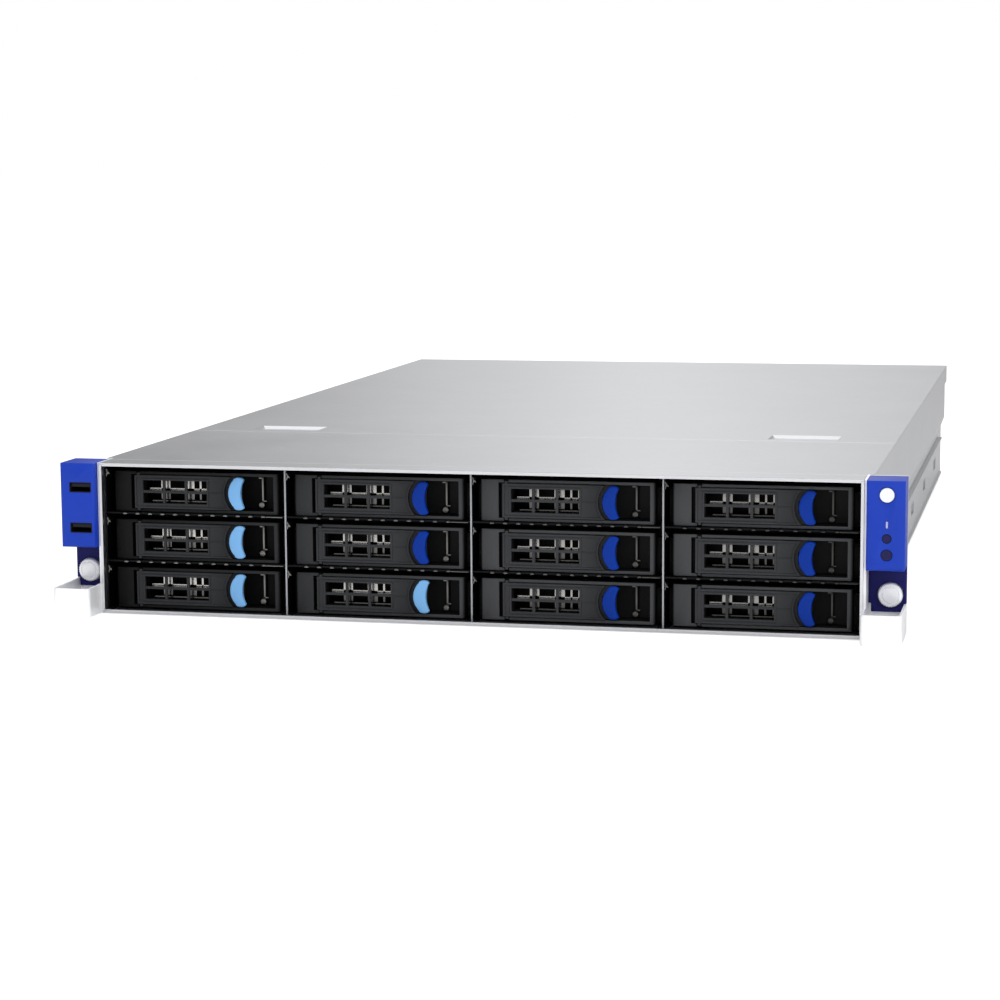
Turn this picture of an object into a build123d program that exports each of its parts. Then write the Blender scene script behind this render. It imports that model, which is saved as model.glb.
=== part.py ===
from build123d import *
from math import asin, cos, radians, sin, sqrt
import os

# Rack server, two rack units high, with twelve front drive bays.
# X runs across the front, +Y towards the rear, +Z up. The origin is on the floor under the middle
# of the bounding box. A depth is a distance behind the front edge of the frame.

# Overall sizes, in millimetres
RACK_WIDTH = 482.6
RACK_HOLE_INSET = 8.75
RACK_HOLE_HEIGHT = 22.2
HEIGHT = 87.5
LENGTH = 750.0
EAR_WIDTH = 22.3
COVER_OVERHANG = 4.0
SHEET = 1.2
COVER_SHEET = 1.0
SLIDE_GAP = 0.3
TURN_GAP = 0.1

# Chassis walls
STEP_LOW = 38.0
STEP_HIGH = 45.5
FRONT_LIP = 2.0
FRONT_HEM = 1.6
EAR_POCKET = 24.0
HEM_GROOVE_DEPTH = 17.5
HEM_GROOVE = 0.7

# Covers
SEAM_DEPTH = 176.0
SEAM_GAP = 0.5
COVER_FLANGE = 12.0
COVER_FLANGE_START = 26.0
COVER_TONGUE = 3.6
COVER_TONGUE_SHEET = 0.8
COVER_REAR_FLANGE = 4.0
PAD_WIDTH = 45.0
PAD_LENGTH = 26.0
PAD_DEPTH = 1.8
PAD_SLOPE = 45.0
PAD_SETBACK = 8.0
PAD_FROM_SIDE = 57.0

# Drive cage and bays
ROWS = 3
COLUMNS = 4
BAY_PITCH_Z = 28.1
CAGE_SHEET = 1.2
CAGE_SIDE_SHEET = 0.8
CAGE_SETBACK = 6.0
LEDGE_SHEET = 1.0
LEDGE_WIDTH = 2.6
SHELF_DEPTH = 12.0
FINGER_REACH = 2.4
FINGER_HEIGHT = 4.0
FINGER_DEPTH = 5.0
FINGER_TOP_GAP = 1.4

# Drive carrier
CARRIER_SIDE_GAP = 4.3
CARRIER_HEIGHT = 23.4
CARRIER_LIFT = 0.5
BEZEL_SETBACK = 8.0
BEZEL_DEPTH = 14.0
BEZEL_RAIL = 1.7
BEZEL_CORNER = 1.2
CAP_WIDTH = 10.4
FRAME_END = 2.8
POCKET_DEPTH = 6.0
RECESS_DEPTH = 12.0
RAIL_SHEET = 1.6
RAIL_HEIGHT = 20.0
RAIL_END = 160.0
SHOULDER_SETBACK = 8.0
CATCH_WIDTH = 1.6
CATCH_SETBACK = 9.0
CATCH_FROM_END = 12.6
DRIVE_SIDE_GAP = 3.0
DRIVE_LENGTH = 147.0
DRIVE_HEIGHT = 26.1
DRIVE_FIT = 0.1
DRIVE_FRONT = 23.0
DRIVE_LIFT = 0.5
LID_INSET = 2.4
LID_HEIGHT = 1.2

# Lever and crescent release button of a carrier
LEVER_SETBACK = 7.0
LEVER_GAP = 0.35
LEVER_FRONT_SHEET = 2.5
LEVER_BACK_SHEET = 2.0
LEVER_END_GAP = 2.3
PIVOT_INSET = 2.2
PIVOT_RADIUS = 1.2
PIVOT_REACH = 1.3
WINDOW_INSET = 4.9
WINDOW_MARGIN = 10.7
WINDOW_HEIGHT = 13.4
WINDOW_BAR = 1.5
WINDOW_COLUMNS = 3
WINDOW_ROWS = 2
BUTTON_FROM_END = 29.5
BUTTON_WIDTH = 7.4
BUTTON_HEIGHT = 19.0
BUTTON_BULGE = 5.2
BUTTON_HOLLOW = 2.8
BUTTON_OUTER_FLATS = 8
BUTTON_INNER_FLATS = 4
BUTTON_FLAT = 4.0
BUTTON_PROUD = 0.8
BUTTON_TRAVEL = 2.0
BUTTON_CLEARANCE = 0.4
STEM_WIDTH = 2.4
STEM_HEIGHT = 6.0

# Ears
EAR_SHEET = 1.5
EAR_FLANGE_DEPTH = 20.0
EAR_PROUD = 3.6
EAR_BLOCK_HEIGHT = 48.9
EAR_WALL = 1.6
EAR_EDGE = 0.8
EAR_TOP_GAP = 0.1
EAR_TAIL = 46.0
EAR_TAIL_LOW = 5.0
EAR_TAIL_HIGH = 34.0
HANDLE_REACH = 20.0
HANDLE_LOW = 0.3
HANDLE_HIGH = 17.0
HANDLE_BEND = 3.0
LOWER_PLATE = 2.0
LOWER_PLATE_FOOT = 12.5

# Captive screws
SCREW_HEAD_RADIUS = 6.8
SCREW_HEAD_SIDES = 20
SCREW_HEAD_LENGTH = 5.0
SCREW_RADIUS = 3.0
SCREW_NECK_RADIUS = 2.3
SCREW_NECK_SIDES = 10
SCREW_REACH = 9.5
SCREW_HOLE_GAP = 0.3

# Controls in the ears
USB_FROM_EDGE = 12.1
USB_DROPS = (14.0, 37.5)
USB_WIDTH = 13.1
USB_HEIGHT = 5.7
USB_LENGTH = 14.0
USB_WALL = 0.4
USB_FIT = 0.1
USB_TONGUE = 1.8
USB_TONGUE_SETBACK = 1.2
CONTROL_FROM_EDGE = 9.7
CONTROL_REACH = 9.0
CONTROL_GUIDE_WALL = 1.2
CONTROL_FOOT = 1.3
POWER_DROP = 7.6
POWER_RADIUS = 3.85
POWER_TRAVEL = 1.0
RESET_DROP = 31.3
RESET_RADIUS = 2.3
LOCATE_DROP = 40.3
LOCATE_RADIUS = 2.9
CONTROL_GAP = 0.3
LIGHT_DROP = 23.8
LIGHT_WIDTH = 1.6
LIGHT_HEIGHT = 4.0

# Slide rail members on the lower side walls
RAIL_START = 62.0
RAIL_REAR_GAP = 44.0
RAIL_LOW = 4.5
RAIL_HIGH = 33.5
RAIL_THICKNESS = 3.4
RAIL_SKIN = 1.4
RAIL_SLOT_LENGTH = 26.0
RAIL_SLOT_HEIGHT = 8.0
RAIL_SLOT_COUNT = 5

# Backplane and fans
BACKPLANE_GAP = 5.0
BACKPLANE_SHEET = 2.0
BACKPLANE_FOOT = 0.3
CONNECTOR_WIDTH = 42.0
CONNECTOR_HEIGHT = 6.0
CONNECTOR_LIFT = 3.0
CONNECTOR_GAP = 0.3
VENT_MARGIN = 11.8
VENT_HEIGHT = 9.0
VENT_LIFT = 14.0
FANS = 3
FAN_BACKPLANE_GAP = 29.0
FAN_SIZE = 80.0
FAN_THICKNESS = 38.0
FAN_SIDE_ROOM = 18.0
FAN_BORE = 76.0
FAN_TIP_GAP = 1.0
FAN_HUB_RADIUS = 15.0
FAN_HUB_LENGTH = 26.0
FAN_MOTOR_SHEET = 5.0
FAN_BRIDGE_WIDTH = 18.0
FAN_BLADES = 5
FAN_BLADE_CHORD = 24.0
FAN_BLADE_SHEET = 1.6
FAN_BLADE_PITCH = 38.0
FAN_WALL_SHEET = 1.2
FAN_WALL_TOP = 84.0
FAN_FOOT = 1.0

# Motherboard and heat sinks
BOARD_SUPPLY_GAP = 19.0
BOARD_SIDE_GAP = 11.0
BOARD_LENGTH = 305.0
BOARD_SHEET = 1.6
BOARD_LIFT = 8.0
BOARD_REAR_GAP = 1.5
STANDOFF_WIDTH = 6.0
STANDOFF_INSET = 8.0
SOCKET_SPREAD = 5 / 11
SOCKET_SHIFT = 7.0
SOCKET_SETBACK = 109.7
SOCKET_INSET = 5.0
SOCKET_HEIGHT = 6.0
MEMORY_SLOTS = 3
MEMORY_PITCH = 9.0
MEMORY_SHEET = 4.0
MEMORY_LENGTH = 133.0
MEMORY_HEIGHT = 30.0
MEMORY_GAP = 3.0
CARD_SLOTS = 7
CARD_PITCH = 20.32
CARD_SLOT_FROM_SIDE = 30.08
CARD_SLOT_REAR_GAP = 22.3
CARD_SLOT_LENGTH = 89.0
CARD_SLOT_WIDTH = 7.5
CARD_SLOT_HEIGHT = 11.0
HEAT_SINK_GAP = 62.0
HEAT_SINK_HEIGHT = 60.0
HEAT_SINK_BASE = 5.0
HEAT_SINK_FINS = 11
HEAT_SINK_FIN = 1.2

# Rear wall, ports and power supplies
SUPPLY_SIDE_GAP = 4.5
SUPPLY_WIDTH = 73.5
SUPPLY_HEIGHT = 39.5
SUPPLY_LENGTH = 252.0
SUPPLY_FOOT = 0.3
SUPPLY_SHELF = 1.0
SUPPLY_MARGIN = 0.4
SUPPLY_SLITS = 6
SUPPLY_SLIT_X = 31.0
SUPPLY_SLIT_LENGTH = 20.0
SUPPLY_SLIT_HEIGHT = 3.0
SUPPLY_SLIT_PITCH = 5.4
SUPPLY_SLIT_DEPTH = 3.0
SUPPLY_HANDLE_X = 3.0
SUPPLY_HANDLE_REACH = 22.0
SUPPLY_HANDLE_WIDTH = 14.0
SUPPLY_HANDLE_HEIGHT = 26.0
SUPPLY_HANDLE_BAR = 3.0
SUPPLY_HANDLE_SLOPE = 4.0
INLET_WIDTH = 24.5
INLET_HEIGHT = 17.5
INLET_DEPTH = 15.0
INLET_FROM_EDGE = 16.5
INLET_PIN_WIDTH = 2.0
INLET_PIN_HEIGHT = 4.0
INLET_PIN_SPACING = 7.0
INLET_PIN_LENGTH = 11.0
PORT_FROM_EDGE = 14.0
PORT_SPACING = 4.0
PORT_MARGIN = 0.4
PORT_PROUD = 0.8
PORT_LENGTH = 21.0
JACKS = 3
JACK_WIDTH = 16.0
JACK_HEIGHT = 13.4
JACK_MOUTH_WIDTH = 11.8
JACK_MOUTH_HEIGHT = 8.0
JACK_MOUTH_DEPTH = 12.0
JACK_MOUTH_LIFT = 2.6
STACKS = 2
STACK_WIDTH = 14.5
STACK_HEIGHT = 15.6
VIDEO_WIDTH = 31.0
VIDEO_HEIGHT = 12.5
SLOT_COVER_WIDTH = 18.4
SLOT_COVER_SHEET = 0.9
SLOT_COVER_LAP = 2.0
SLOT_OPENING_WIDTH = 12.0
SLOT_OPENING_LOW = 14.0
SLOT_OPENING_HIGH = 78.0
REAR_VENT_COLUMNS = 7
REAR_VENT_ROWS = 2
REAR_VENT_WIDTH = 16.0
REAR_VENT_HEIGHT = 11.0
REAR_VENT_PITCH_X = 20.0
REAR_VENT_PITCH_Z = 15.0
REAR_VENT_FROM_EDGE = 4.0
REAR_VENT_LOW = 51.0
REAR_WALL_FIT = 0.1

# Places that follow from the sizes above
OVERALL_LENGTH = HANDLE_REACH + LENGTH + SUPPLY_HANDLE_REACH
FRONT_Y = HANDLE_REACH - OVERALL_LENGTH / 2
EAR_HALF = RACK_WIDTH / 2
FRAME_HALF = EAR_HALF - EAR_WIDTH
COVER_HALF = FRAME_HALF + COVER_OVERHANG
UPPER_HALF = COVER_HALF - COVER_SHEET - SLIDE_GAP
HOLE_X = EAR_HALF - RACK_HOLE_INSET
PAD_CENTRE = COVER_HALF - PAD_FROM_SIDE
PANEL_UNDERSIDE = HEIGHT - COVER_SHEET
WALL_TOP = PANEL_UNDERSIDE - SLIDE_GAP
CAGE_HALF = FRAME_HALF - SHEET - CAGE_SIDE_SHEET
BAY_WIDTH = (2 * CAGE_HALF - (COLUMNS - 1) * CAGE_SHEET) / COLUMNS
BAY_PITCH_X = BAY_WIDTH + CAGE_SHEET
BAY_FLOOR = FRONT_LIP + CARRIER_LIFT
LEDGE_TOP = BAY_FLOOR - SLIDE_GAP
COVER_FRONT = SEAM_DEPTH + SEAM_GAP
TONGUE_TOP = PANEL_UNDERSIDE - SLIDE_GAP
TONGUE_LOW = TONGUE_TOP - COVER_TONGUE_SHEET
TONGUE_HALF = CAGE_HALF - SLIDE_GAP
EAR_SIDE = FRAME_HALF + EAR_SHEET
EAR_TOP = HEIGHT - EAR_TOP_GAP
EAR_BLOCK_LOW = EAR_TOP - EAR_BLOCK_HEIGHT
USB_CENTRE = EAR_HALF - USB_FROM_EDGE
CONTROL_CENTRE = EAR_HALF - CONTROL_FROM_EDGE
RAIL_FINISH = LENGTH - RAIL_REAR_GAP
CARRIER_HALF = BAY_WIDTH / 2 - CARRIER_SIDE_GAP
DRIVE_WIDTH = BAY_WIDTH - 2 * DRIVE_SIDE_GAP
LEVER_LEFT = CAP_WIDTH - CARRIER_HALF + LEVER_END_GAP
LEVER_LOW = BEZEL_RAIL + LEVER_GAP
LEVER_HIGH = CARRIER_HEIGHT - LEVER_LOW
LEVER_MIDDLE = CARRIER_HEIGHT / 2
LEVER_BACK = LEVER_SETBACK + LEVER_FRONT_SHEET
LEVER_REAR = LEVER_BACK + LEVER_BACK_SHEET
PIVOT_U = LEVER_LEFT + PIVOT_INSET
PIVOT_DEPTH = LEVER_BACK - PIVOT_RADIUS
BUTTON_LEFT = CARRIER_HALF - BUTTON_FROM_END
BUTTON_FRONT = LEVER_SETBACK - BUTTON_PROUD
BUTTON_BACK = LEVER_BACK - TURN_GAP
BUTTON_SHOULDER = BUTTON_LEFT + BUTTON_BULGE
BUTTON_WAIST = BUTTON_LEFT + BUTTON_WIDTH
BUTTON_TIP = BUTTON_WAIST + BUTTON_HOLLOW
STEM_LEFT = BUTTON_LEFT + BUTTON_TRAVEL
LEVER_RIGHT = BUTTON_LEFT - BUTTON_TRAVEL - BUTTON_CLEARANCE
WINDOW_WIDTH = LEVER_RIGHT - WINDOW_MARGIN - LEVER_LEFT - WINDOW_INSET
VENT_WIDTH = BAY_WIDTH - 2 * VENT_MARGIN
BACKPLANE_DEPTH = DRIVE_FRONT + DRIVE_LENGTH + BACKPLANE_GAP
FAN_DEPTH = BACKPLANE_DEPTH + BACKPLANE_SHEET + FAN_BACKPLANE_GAP
FAN_PITCH = (2 * FRAME_HALF - FAN_SIDE_ROOM) / FANS
SUPPLY_LEFT = SUPPLY_SIDE_GAP - FRAME_HALF
SUPPLY_FLOORS = (
    SHEET + SUPPLY_FOOT,
    SHEET + 2 * SUPPLY_FOOT + SUPPLY_HEIGHT + SUPPLY_MARGIN + SUPPLY_SHELF,
)
BOARD_LEFT = SUPPLY_LEFT + SUPPLY_WIDTH + BOARD_SUPPLY_GAP
BOARD_RIGHT = FRAME_HALF - BOARD_SIDE_GAP
BOARD_WIDTH = BOARD_RIGHT - BOARD_LEFT
BOARD_BACK = LENGTH - SHEET - BOARD_REAR_GAP
BOARD_FRONT = BOARD_BACK - BOARD_LENGTH
BOARD_TOP = BOARD_LIFT + BOARD_SHEET
SOCKET_TOP = BOARD_TOP + SOCKET_HEIGHT
SOCKET_DEPTH = BOARD_FRONT + SOCKET_SETBACK
SOCKET_PITCH = BOARD_WIDTH * SOCKET_SPREAD
SOCKET_MIDDLE = (BOARD_LEFT + BOARD_RIGHT) / 2 + SOCKET_SHIFT
SOCKET_X = (SOCKET_MIDDLE - SOCKET_PITCH / 2, SOCKET_MIDDLE + SOCKET_PITCH / 2)
HEAT_SINK_SIZE = SOCKET_PITCH - HEAT_SINK_GAP
SOCKET_SIZE = HEAT_SINK_SIZE - 2 * SOCKET_INSET
MEMORY_OFFSET = HEAT_SINK_SIZE / 2 + MEMORY_GAP
CARD_SLOT_DEPTH = BOARD_BACK - CARD_SLOT_REAR_GAP - CARD_SLOT_LENGTH
CARD_SLOT_X = BOARD_RIGHT - CARD_SLOT_FROM_SIDE - (CARD_SLOTS - 1) * CARD_PITCH
PORT_LEFT = BOARD_LEFT + PORT_FROM_EDGE
REAR_VENT_LEFT = BOARD_LEFT + REAR_VENT_FROM_EDGE


def facing_front(depth, x=0.0, z=0.0):
    """Plane at a depth, seen from the front: its local axes are X and Z, its normal is -Y."""
    return Plane(origin=(x, FRONT_Y + depth, z), x_dir=(1, 0, 0), z_dir=(0, -1, 0))


def sides(left, right, low, high):
    """Rectangle in the sketch at hand, given by its four sides."""
    with Locations(((left + right) / 2, (low + high) / 2)):
        Rectangle(right - left, high - low)


def block(left, right, low, high, near, far, x=0.0, z=0.0, mode=Mode.ADD):
    """Straight-sided piece between two depths, its sides given from the point (x, z)."""
    with BuildSketch(facing_front(near, x, z)) as outline:
        sides(left, right, low, high)
    extrude(outline.sketch, amount=near - far, mode=mode)


def finish(piece, name):
    """Label a piece and write it out."""
    piece.part.label = name
    export_step(piece.part, f"parts/{name}.step")


os.makedirs("parts", exist_ok=True)


# Chassis base: one folded sheet, its upper walls stepped outwards behind the ears
pan_outline = [
    (-UPPER_HALF, WALL_TOP),
    (-UPPER_HALF, STEP_HIGH),
    (-FRAME_HALF, STEP_LOW),
    (-FRAME_HALF, 0),
    (FRAME_HALF, 0),
    (FRAME_HALF, STEP_LOW),
    (UPPER_HALF, STEP_HIGH),
    (UPPER_HALF, WALL_TOP),
]
front_outline = [
    (-FRAME_HALF, PANEL_UNDERSIDE),
    (-FRAME_HALF, 0),
    (FRAME_HALF, 0),
    (FRAME_HALF, PANEL_UNDERSIDE),
]
slot_cover_places = [CARD_SLOT_X + index * CARD_PITCH for index in range(CARD_SLOTS)]
port_sizes = (
    [(STACK_WIDTH, STACK_HEIGHT)] * STACKS
    + [(JACK_WIDTH, JACK_HEIGHT)] * JACKS
    + [(VIDEO_WIDTH, VIDEO_HEIGHT)]
)
port_places = []
port_left = PORT_LEFT
for width, height in port_sizes:
    port_places.append((port_left, width, height))
    port_left += width + PORT_SPACING
supply_wall = SUPPLY_LEFT + SUPPLY_WIDTH + SUPPLY_MARGIN
shelf_low = SUPPLY_FLOORS[1] - SUPPLY_FOOT - SUPPLY_SHELF

with BuildPart() as chassis_base:
    with BuildSketch(facing_front(EAR_POCKET)):
        with BuildLine():
            Polyline(*pan_outline)
            offset(amount=SHEET, kind=Kind.INTERSECTION, side=Side.LEFT)
        make_face()
    extrude(amount=EAR_POCKET - LENGTH)
    with BuildSketch(facing_front(0)):
        with BuildLine():
            Polyline(*front_outline)
            offset(amount=SHEET, kind=Kind.INTERSECTION, side=Side.LEFT)
        make_face()
    extrude(amount=-EAR_POCKET)
    # Webs that close the walls where they step outwards behind the ears
    with BuildSketch(facing_front(EAR_POCKET)):
        for side in (-1, 1):
            with BuildLine():
                Polyline(
                    (side * (FRAME_HALF - SHEET), STEP_LOW),
                    (side * FRAME_HALF, STEP_LOW),
                    (side * UPPER_HALF, STEP_HIGH),
                    (side * UPPER_HALF, WALL_TOP),
                    (side * (FRAME_HALF - SHEET), WALL_TOP),
                    close=True,
                )
            make_face()
    extrude(amount=-SHEET)
    # Hems along the front edges
    block(-FRAME_HALF, FRAME_HALF, 0, FRONT_LIP, 0, FRONT_LIP)
    for side in (-1, 1):
        inner, outer = sorted((side * (FRAME_HALF - FRONT_HEM), side * FRAME_HALF))
        block(inner, outer, 0, PANEL_UNDERSIDE, 0, FRONT_LIP)
    # Rear wall: a plate of its own, fitted between the walls of the pan
    with BuildSketch(facing_front(LENGTH - SHEET)):
        with BuildLine():
            Polyline(*pan_outline, close=True)
        make_face()
        offset(amount=-SHEET - REAR_WALL_FIT, kind=Kind.INTERSECTION, mode=Mode.REPLACE)
    extrude(amount=-SHEET)
    with BuildSketch(facing_front(LENGTH - SHEET)):
        bay_lows = (SHEET, SUPPLY_FLOORS[1] - SUPPLY_FOOT + SUPPLY_MARGIN / 2)
        for low, floor in zip(bay_lows, SUPPLY_FLOORS):
            high = floor + SUPPLY_HEIGHT + SUPPLY_MARGIN
            sides(SUPPLY_LEFT - SUPPLY_MARGIN, supply_wall, low, high)
        for left, width, height in port_places:
            sides(
                left - PORT_MARGIN,
                left + width + PORT_MARGIN,
                BOARD_TOP - PORT_MARGIN,
                BOARD_TOP + height + PORT_MARGIN,
            )
        for x in slot_cover_places:
            left = x - SLOT_OPENING_WIDTH / 2
            sides(left, left + SLOT_OPENING_WIDTH, SLOT_OPENING_LOW, SLOT_OPENING_HIGH)
        vent_middle = (
            REAR_VENT_LEFT + (REAR_VENT_COLUMNS - 1) * REAR_VENT_PITCH_X / 2 + REAR_VENT_WIDTH / 2,
            REAR_VENT_LOW + (REAR_VENT_ROWS - 1) * REAR_VENT_PITCH_Z / 2 + REAR_VENT_HEIGHT / 2,
        )
        with Locations(vent_middle):
            with GridLocations(
                REAR_VENT_PITCH_X, REAR_VENT_PITCH_Z, REAR_VENT_COLUMNS, REAR_VENT_ROWS
            ):
                Rectangle(REAR_VENT_WIDTH, REAR_VENT_HEIGHT)
    extrude(amount=-SHEET, mode=Mode.SUBTRACT)
    # Bay of the power supplies: one side wall and a shelf between the two
    supply_reach = (LENGTH - SUPPLY_LENGTH, LENGTH - SHEET - REAR_WALL_FIT)
    block(supply_wall, supply_wall + SHEET, 0, WALL_TOP, *supply_reach)
    shelf_high = shelf_low + SUPPLY_SHELF
    block(-FRAME_HALF, supply_wall + SHEET, shelf_low, shelf_high, *supply_reach)
    # Covers over the expansion slots, inside the rear wall
    for x in slot_cover_places:
        half = SLOT_COVER_WIDTH / 2
        near = LENGTH - SHEET - SLOT_COVER_SHEET
        low = SLOT_OPENING_LOW - SLOT_COVER_LAP
        high = SLOT_OPENING_HIGH + SLOT_COVER_LAP
        block(x - half, x + half, low, high, near, LENGTH - SHEET)
finish(chassis_base, "chassis_base")


# Drive cage: two side sheets and three dividers, with ledges, front shelves and guide fingers
divider_places = [
    (column - COLUMNS / 2) * BAY_PITCH_X for column in range(1, COLUMNS)
]
bay_places = [(column - (COLUMNS - 1) / 2) * BAY_PITCH_X for column in range(COLUMNS)]
shelf_heights = [LEDGE_TOP - LEDGE_SHEET + row * BAY_PITCH_Z for row in range(ROWS)]
cage_top = PANEL_UNDERSIDE - LEDGE_SHEET

with BuildPart() as drive_cage:
    with BuildSketch(facing_front(CAGE_SETBACK)):
        for x in divider_places:
            sides(x - CAGE_SHEET / 2, x + CAGE_SHEET / 2, SHEET, PANEL_UNDERSIDE)
        for left in (-CAGE_HALF - CAGE_SIDE_SHEET, CAGE_HALF):
            sides(left, left + CAGE_SIDE_SHEET, SHEET, PANEL_UNDERSIDE)
        # Ledges that carry the sled of each carrier
        for low in shelf_heights:
            for x in bay_places:
                edge = BAY_WIDTH / 2
                sides(x - edge, x - edge + LEDGE_WIDTH, low, low + LEDGE_SHEET)
                sides(x + edge - LEDGE_WIDTH, x + edge, low, low + LEDGE_SHEET)
    extrude(amount=CAGE_SETBACK - BACKPLANE_DEPTH)
    # Front shelves between the rows, and the strip under the top panel
    with BuildSketch(facing_front(CAGE_SETBACK)):
        for low in shelf_heights[1:] + [cage_top]:
            sides(-CAGE_HALF, CAGE_HALF, low, low + LEDGE_SHEET)
    extrude(amount=-SHELF_DEPTH)
    # Bent guide finger at the upper left of each bay
    for low in shelf_heights:
        for x in bay_places:
            root_x = x - BAY_WIDTH / 2
            root_z = low + BAY_PITCH_Z - FINGER_TOP_GAP
            with BuildSketch(facing_front(CAGE_SETBACK)):
                with BuildLine():
                    Polyline(
                        (root_x, root_z),
                        (root_x + FINGER_REACH, root_z - FINGER_HEIGHT / 2),
                        (root_x, root_z - FINGER_HEIGHT),
                        close=True,
                    )
                make_face()
            extrude(amount=-FINGER_DEPTH)
    # Room for the tongue of the top cover
    notch_near = COVER_FRONT - COVER_TONGUE - SLIDE_GAP
    notch = (-CAGE_HALF, CAGE_HALF, TONGUE_LOW - SLIDE_GAP, PANEL_UNDERSIDE)
    block(*notch, notch_near, BACKPLANE_DEPTH, mode=Mode.SUBTRACT)
finish(drive_cage, "drive_cage")


# Front top panel: fixed sheet over the drive cage, narrower between the ears
with BuildPart() as front_top_panel:
    with BuildSketch(Plane.XY.offset(PANEL_UNDERSIDE)):
        sides(-FRAME_HALF, FRAME_HALF, FRONT_Y, FRONT_Y + EAR_POCKET)
        sides(-COVER_HALF, COVER_HALF, FRONT_Y + EAR_POCKET, FRONT_Y + SEAM_DEPTH)
    extrude(amount=COVER_SHEET)
    block(
        FRONT_HEM - FRAME_HALF, FRAME_HALF - FRONT_HEM, HEIGHT - FRONT_LIP, HEIGHT, 0, COVER_SHEET
    )
    with BuildSketch(facing_front(COVER_FLANGE_START)):
        for side in (-1, 1):
            left, right = sorted((side * (COVER_HALF - COVER_SHEET), side * COVER_HALF))
            sides(left, right, PANEL_UNDERSIDE - COVER_FLANGE, PANEL_UNDERSIDE)
    extrude(amount=COVER_FLANGE_START - SEAM_DEPTH)
    # Fine groove behind the front hem
    with BuildSketch(Plane.XY.offset(HEIGHT)):
        groove = FRONT_Y + HEM_GROOVE_DEPTH
        sides(-FRAME_HALF, FRAME_HALF, groove, groove + HEM_GROOVE)
    extrude(amount=-COVER_SHEET / 2, mode=Mode.SUBTRACT)
finish(front_top_panel, "front_top_panel")


# Top cover: sheet with side flanges, a tongue under the front panel and two finger recesses
pad_y = FRONT_Y + COVER_FRONT + PAD_SETBACK + PAD_LENGTH / 2

with BuildPart() as top_cover:
    with BuildSketch(Plane.XY.offset(PANEL_UNDERSIDE)):
        cover_end = FRONT_Y + LENGTH + SLIDE_GAP + COVER_SHEET
        sides(-COVER_HALF, COVER_HALF, FRONT_Y + COVER_FRONT, cover_end)
    extrude(amount=COVER_SHEET)
    with BuildSketch(facing_front(COVER_FRONT)):
        for side in (-1, 1):
            left, right = sorted((side * (COVER_HALF - COVER_SHEET), side * COVER_HALF))
            sides(left, right, PANEL_UNDERSIDE - COVER_FLANGE, PANEL_UNDERSIDE)
    extrude(amount=COVER_FRONT - LENGTH)
    # Flange behind the rear wall
    block(
        -UPPER_HALF,
        UPPER_HALF,
        PANEL_UNDERSIDE - COVER_REAR_FLANGE,
        PANEL_UNDERSIDE,
        LENGTH + SLIDE_GAP,
        LENGTH + SLIDE_GAP + COVER_SHEET,
    )
    # Stepped tongue
    tongue_near = COVER_FRONT - COVER_TONGUE
    step_far = COVER_FRONT + COVER_TONGUE
    block(-TONGUE_HALF, TONGUE_HALF, TONGUE_LOW, TONGUE_TOP, tongue_near, step_far)
    block(-TONGUE_HALF, TONGUE_HALF, TONGUE_TOP, PANEL_UNDERSIDE, COVER_FRONT, step_far)
    # Stamped recesses for the fingers, with sloping walls
    with BuildSketch(Plane.XY.offset(PANEL_UNDERSIDE)):
        with Locations((-PAD_CENTRE, pad_y), (PAD_CENTRE, pad_y)):
            Rectangle(PAD_WIDTH, PAD_LENGTH)
    extrude(amount=-PAD_DEPTH)
    with BuildSketch(Plane.XY.offset(HEIGHT)):
        with Locations((-PAD_CENTRE, pad_y), (PAD_CENTRE, pad_y)):
            Rectangle(PAD_WIDTH - 2 * COVER_SHEET, PAD_LENGTH - 2 * COVER_SHEET)
    extrude(amount=-PAD_DEPTH, taper=PAD_SLOPE, mode=Mode.SUBTRACT)
finish(top_cover, "top_cover")


def make_ear_bracket(side):
    """Steel ear: side plate on the chassis, rack flange, and a loop handle below."""
    with BuildPart() as bracket:
        # Side plate, its lower part running on along the wall
        with BuildSketch(Plane.YZ.offset(side * FRAME_HALF)) as plate:
            near = FRONT_Y + EAR_SHEET
            sides(near, FRONT_Y + EAR_POCKET - SLIDE_GAP, HANDLE_LOW, EAR_TOP)
            sides(near, FRONT_Y + EAR_TAIL, EAR_TAIL_LOW, EAR_TAIL_HIGH)
        extrude(plate.sketch, amount=side * EAR_SHEET)
        # Flange with the screw hole
        left, right = sorted((side * EAR_SIDE, side * EAR_HALF))
        block(left, right, HANDLE_LOW, EAR_TOP, EAR_FLANGE_DEPTH, EAR_FLANGE_DEPTH + EAR_SHEET)
        with BuildSketch(facing_front(EAR_FLANGE_DEPTH)) as hole:
            with Locations((side * HOLE_X, RACK_HOLE_HEIGHT)):
                Circle(SCREW_RADIUS + SCREW_HOLE_GAP)
        extrude(hole.sketch, amount=-EAR_SHEET, mode=Mode.SUBTRACT)
        # Handle: one strip bent round the front
        with BuildSketch(Plane.XY.offset(HANDLE_LOW)) as strip:
            with BuildLine():
                FilletPolyline(
                    (side * EAR_SIDE, FRONT_Y + EAR_FLANGE_DEPTH),
                    (side * EAR_SIDE, FRONT_Y - HANDLE_REACH + EAR_SHEET),
                    (side * (EAR_HALF - EAR_SHEET), FRONT_Y - HANDLE_REACH + EAR_SHEET),
                    (side * (EAR_HALF - EAR_SHEET), FRONT_Y + EAR_FLANGE_DEPTH),
                    radius=HANDLE_BEND - EAR_SHEET,
                )
                outward = Side.RIGHT if side > 0 else Side.LEFT
                offset(amount=EAR_SHEET, side=outward)
            make_face()
        extrude(strip.sketch, amount=HANDLE_HIGH - HANDLE_LOW)
    return bracket


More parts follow.
